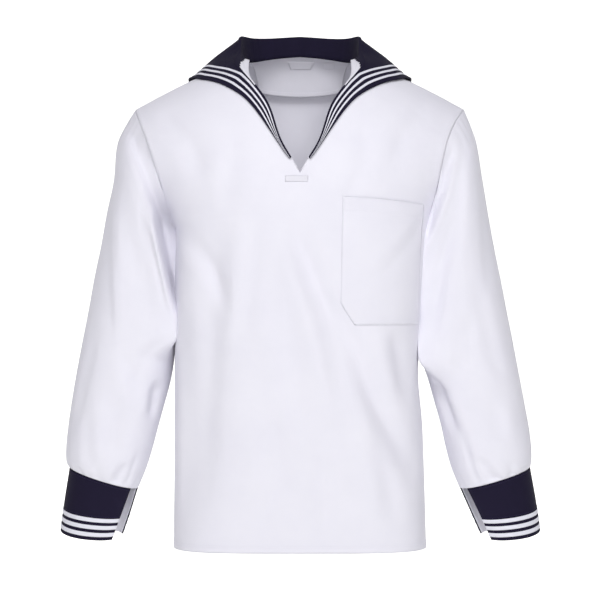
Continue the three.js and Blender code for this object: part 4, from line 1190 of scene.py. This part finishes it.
cuffs = {}
for half, side in ((-1, "right"), (1, "left")):
    sheet, rows = cuff(half)
    normals = sheet.normals()
    band = wall(f"cuff_cloth_{side}", sheet, sheet.faces, 0, CUFF_CLOTH, NAVY_TWILL)
    finish_piece(band, f"cuff_{side}")
    lining = wall(f"cuff_facing_cloth_{side}", sheet, sheet.faces, -CUFF_CLOTH - SEAM, FACING_CLOTH,
                  WHITE_TWILL, normals)
    finish_piece(lining, f"cuff_facing_{side}")
    tapes = []
    for k in range(3):
        low, high = (CUFF_MARKS.index(edge) for edge in CUFF_TAPE_EDGES[4 - 2 * k:6 - 2 * k])
        grids = [(rows[len(CUFF_TOP_STEPS):][high:low + 1], half < 0)]
        tapes.append(tape(f"cuff_tape_{side}_{k + 1}", sheet, grids, normals))
    cuffs[side] = (band, lining, tapes, sheet, rows, normals)


# Labels: plain tabs on the back neck facing and below the front opening
def tab(replaced, facing, corners, out):
    """A tab with its corners at (x, z), from the top -x corner round by +x."""
    sheet, grid = Sheet(), []
    for v in np.linspace(0, 1, 9):
        spots = []
        for f in np.linspace(0, 1, 13):
            top = lerp(np.array(corners[0], float), np.array(corners[1], float), f)
            low = lerp(np.array(corners[3], float), np.array(corners[2], float), f)
            x, z = lerp(top, low, v)
            spots.append((x, at_height(x, z, facing), z))
        x, g, z = np.array(spots).T
        grid.append(sheet.row(drape(x, g), list(zip(x, z)), list(drape_normal(x, g))))
    sheet.grid(grid, facing > 0)
    obj = wall(f"{replaced}_cloth", sheet, sheet.faces, out, LABEL_CLOTH, LABEL_SATIN)
    finish_piece(obj, replaced)
    return obj


INSIDE_OUT = -CLOTH - SEAM - FACING_CLOTH - SEAM
neck_label = tab("neck_label", 1, [[-19, 16], [21, 16], [16, 5], [-14, 5]], INSIDE_OUT)
size_label = tab("size_label", 1, [[35, 14], [49, 14], [49, 6], [35, 6]], INSIDE_OUT)
front_tab = tab("front_tab", -1, [[-20, -161.5], [11, -161.5], [11, -169.5], [-20, -169.5]],
                SEAM + LABEL_CLOTH)

# Stitching
THREAD_OUT = 0.15
ARM_STITCH = 6.0
# Height of the body's last row
LAST_ROW_TALL = 43
body_lines, back_lines = [], []
for side in ("right", "left"):
    last = front_panel.row_of(UNDERARM_ROW)
    body_lines.append(front_panel.edge_line(side, 1, last, ARM_STITCH, THREAD_OUT))
    back_lines.append(back_panel.edge_line(side, 1, back_panel.row_of(UNDERARM_ROW), ARM_STITCH, THREAD_OUT))
    cols = np.linspace(0.5, COLUMNS - 1, 90)
    body_lines.append(front_panel.sample(side, front_panel.row_of(0.16), cols, THREAD_OUT))
for panel, lines, count in ((front_panel, body_lines, COLUMNS), (back_panel, back_lines, BACK_COLUMNS)):
    row = panel.row_of(HEM_ROW - HEM_TURN / LAST_ROW_TALL)
    cols = np.linspace(0, count, 140)
    lines.append(np.concatenate([panel.sample("right", row, cols[::-1], TURNED_RISE + THREAD_OUT),
                                 panel.sample("left", row, cols[1:], TURNED_RISE + THREAD_OUT)]))
u = np.linspace(0.02, 0.98, 60)
v = np.linspace(0.01, 0.985, 80)


def pocket_line(v, u):
    u, v = np.broadcast_arrays(u, v)
    return pocket_map(v, u, POCKET_REST + POCKET_CLOTH + THREAD_OUT + pocket_rise(v, u))


pocket_lines = [pocket_line(v, 0.02), pocket_line(v, 0.98), pocket_line(0.985, u), pocket_line(0.165, u)]
# The facing's hem is sewn a little above its lower edge
facing_out = CLOTH + SEAM + FACING_CLOTH + THREAD_OUT
facing_lines = [facing_points[27] - facing_normals[27] * facing_out]
body_thread = stitches("front_stitches", body_lines, WHITE_THREAD)
back_thread = stitches("back_stitches", back_lines, WHITE_THREAD)
pocket_thread = stitches("pocket_stitches", pocket_lines, WHITE_THREAD)
facing_thread = stitches("facing_stitches", facing_lines, WHITE_THREAD)
for side, (band, lining, tapes, sheet, rows, normals) in cuffs.items():
    pts = np.array(sheet.points)
    seams = [rows[len(CUFF_TOP_STEPS)][1:-1], rows[1][1:-1]]
    lines = [pts[keys] + normals[keys] * THREAD_OUT for keys in seams]
    stitches(f"cuff_stitches_{side}", lines, NAVY_THREAD)

# Each cuff's band, lining and tapes, unpacked and not used further
for side in ("right", "left"):
    band, lining, tapes, *_ = cuffs[side]

# Stage, light and camera
STAGE_BELOW = -1.42
FLOOR_FRONT = -4
WALL_BEHIND = 3.6
STAGE_HALF = 6
WALL_TOP = 5


def stage_material(name, colour, glow):
    m = bpy.data.materials.new(name)
    m.use_nodes = True
    shader = m.node_tree.nodes["Principled BSDF"]
    shader.inputs["Base Color"].default_value = linear(colour)
    shader.inputs["Roughness"].default_value = 0.9
    shader.inputs["Emission Color"].default_value = linear(colour)
    shader.inputs["Emission Strength"].default_value = glow
    return m


def plain_sheet(name, corners, material):
    mesh = bpy.data.meshes.new(name)
    mesh.from_pydata(corners, [], [(0, 1, 2, 3)])
    mesh.materials.append(material)
    obj = bpy.data.objects.new(name, mesh)
    bpy.context.scene.collection.objects.link(obj)
    return obj


PALE = stage_material("matt_white_studio_paper", "#fffffd", 0.75)
PALE_FLOOR = stage_material("matt_white_studio_floor", "#fbfbf9", 0.3)
LEFT_RIGHT = (-STAGE_HALF, STAGE_HALF)
NEAR, FAR = ([(x, y, STAGE_BELOW) for x in LEFT_RIGHT] for y in (FLOOR_FRONT, WALL_BEHIND))
plain_sheet("studio_floor", NEAR + FAR[::-1], PALE_FLOOR)
plain_sheet("studio_wall", FAR + [(x, WALL_BEHIND, WALL_TOP) for x in LEFT_RIGHT[::-1]], PALE)


def soft_light(name, at, toward, size, watts, colour=(1, 1, 1)):
    data = bpy.data.lights.new(name, "AREA")
    data.shape = "RECTANGLE"
    data.size, data.size_y = size
    data.energy = watts
    data.color = colour
    obj = bpy.data.objects.new(name, data)
    obj.location = at
    obj.rotation_euler = (Vector(toward) - Vector(at)).to_track_quat("-Z", "Y").to_euler()
    bpy.context.scene.collection.objects.link(obj)


soft_light("key_light", (-0.5, -2.5, 2.3), (0, 0, -0.2), (1.2, 1.2), 50, (1, 0.995, 1))
soft_light("fill_light", (1.2, -2.5, 1.6), (0, 0, -0.25), (1.2, 1.2), 20, (0.985, 0.985, 1))
soft_light("front_light", (0, -3.3, -0.3), (0, 0, -0.3), (0.9, 0.7), 19)
# A narrow lamp by the camera that reaches the inside of the neck
snoot = bpy.data.lights.new("neck_light", "SPOT")
snoot.energy = 18
snoot.spot_size = math.radians(5.6)
snoot.spot_blend = 1.0
snoot.shadow_soft_size = 0.05
snoot_object = bpy.data.objects.new("neck_light", snoot)
snoot_object.location = (0, -3.2, -0.15)
snoot_way = Vector((0, 0, -0.085)) - snoot_object.location
snoot_object.rotation_euler = snoot_way.to_track_quat("-Z", "Y").to_euler()
bpy.context.scene.collection.objects.link(snoot_object)
world = bpy.data.worlds.new("studio_air")
world.use_nodes = True
world.node_tree.nodes["Background"].inputs["Color"].default_value = linear("#f6f5ff")
world.node_tree.nodes["Background"].inputs["Strength"].default_value = 0.205
bpy.context.scene.world = world
bpy.context.scene.view_settings.view_transform = "Standard"

camera = bpy.data.cameras.new("camera")
camera.lens = 111.4
camera.sensor_width = 36
eye = bpy.data.objects.new("camera", camera)
eye.location = (0, -2.6, -0.328)
eye.rotation_euler = (math.radians(90), 0, 0)
bpy.context.scene.collection.objects.link(eye)
bpy.context.scene.camera = eye
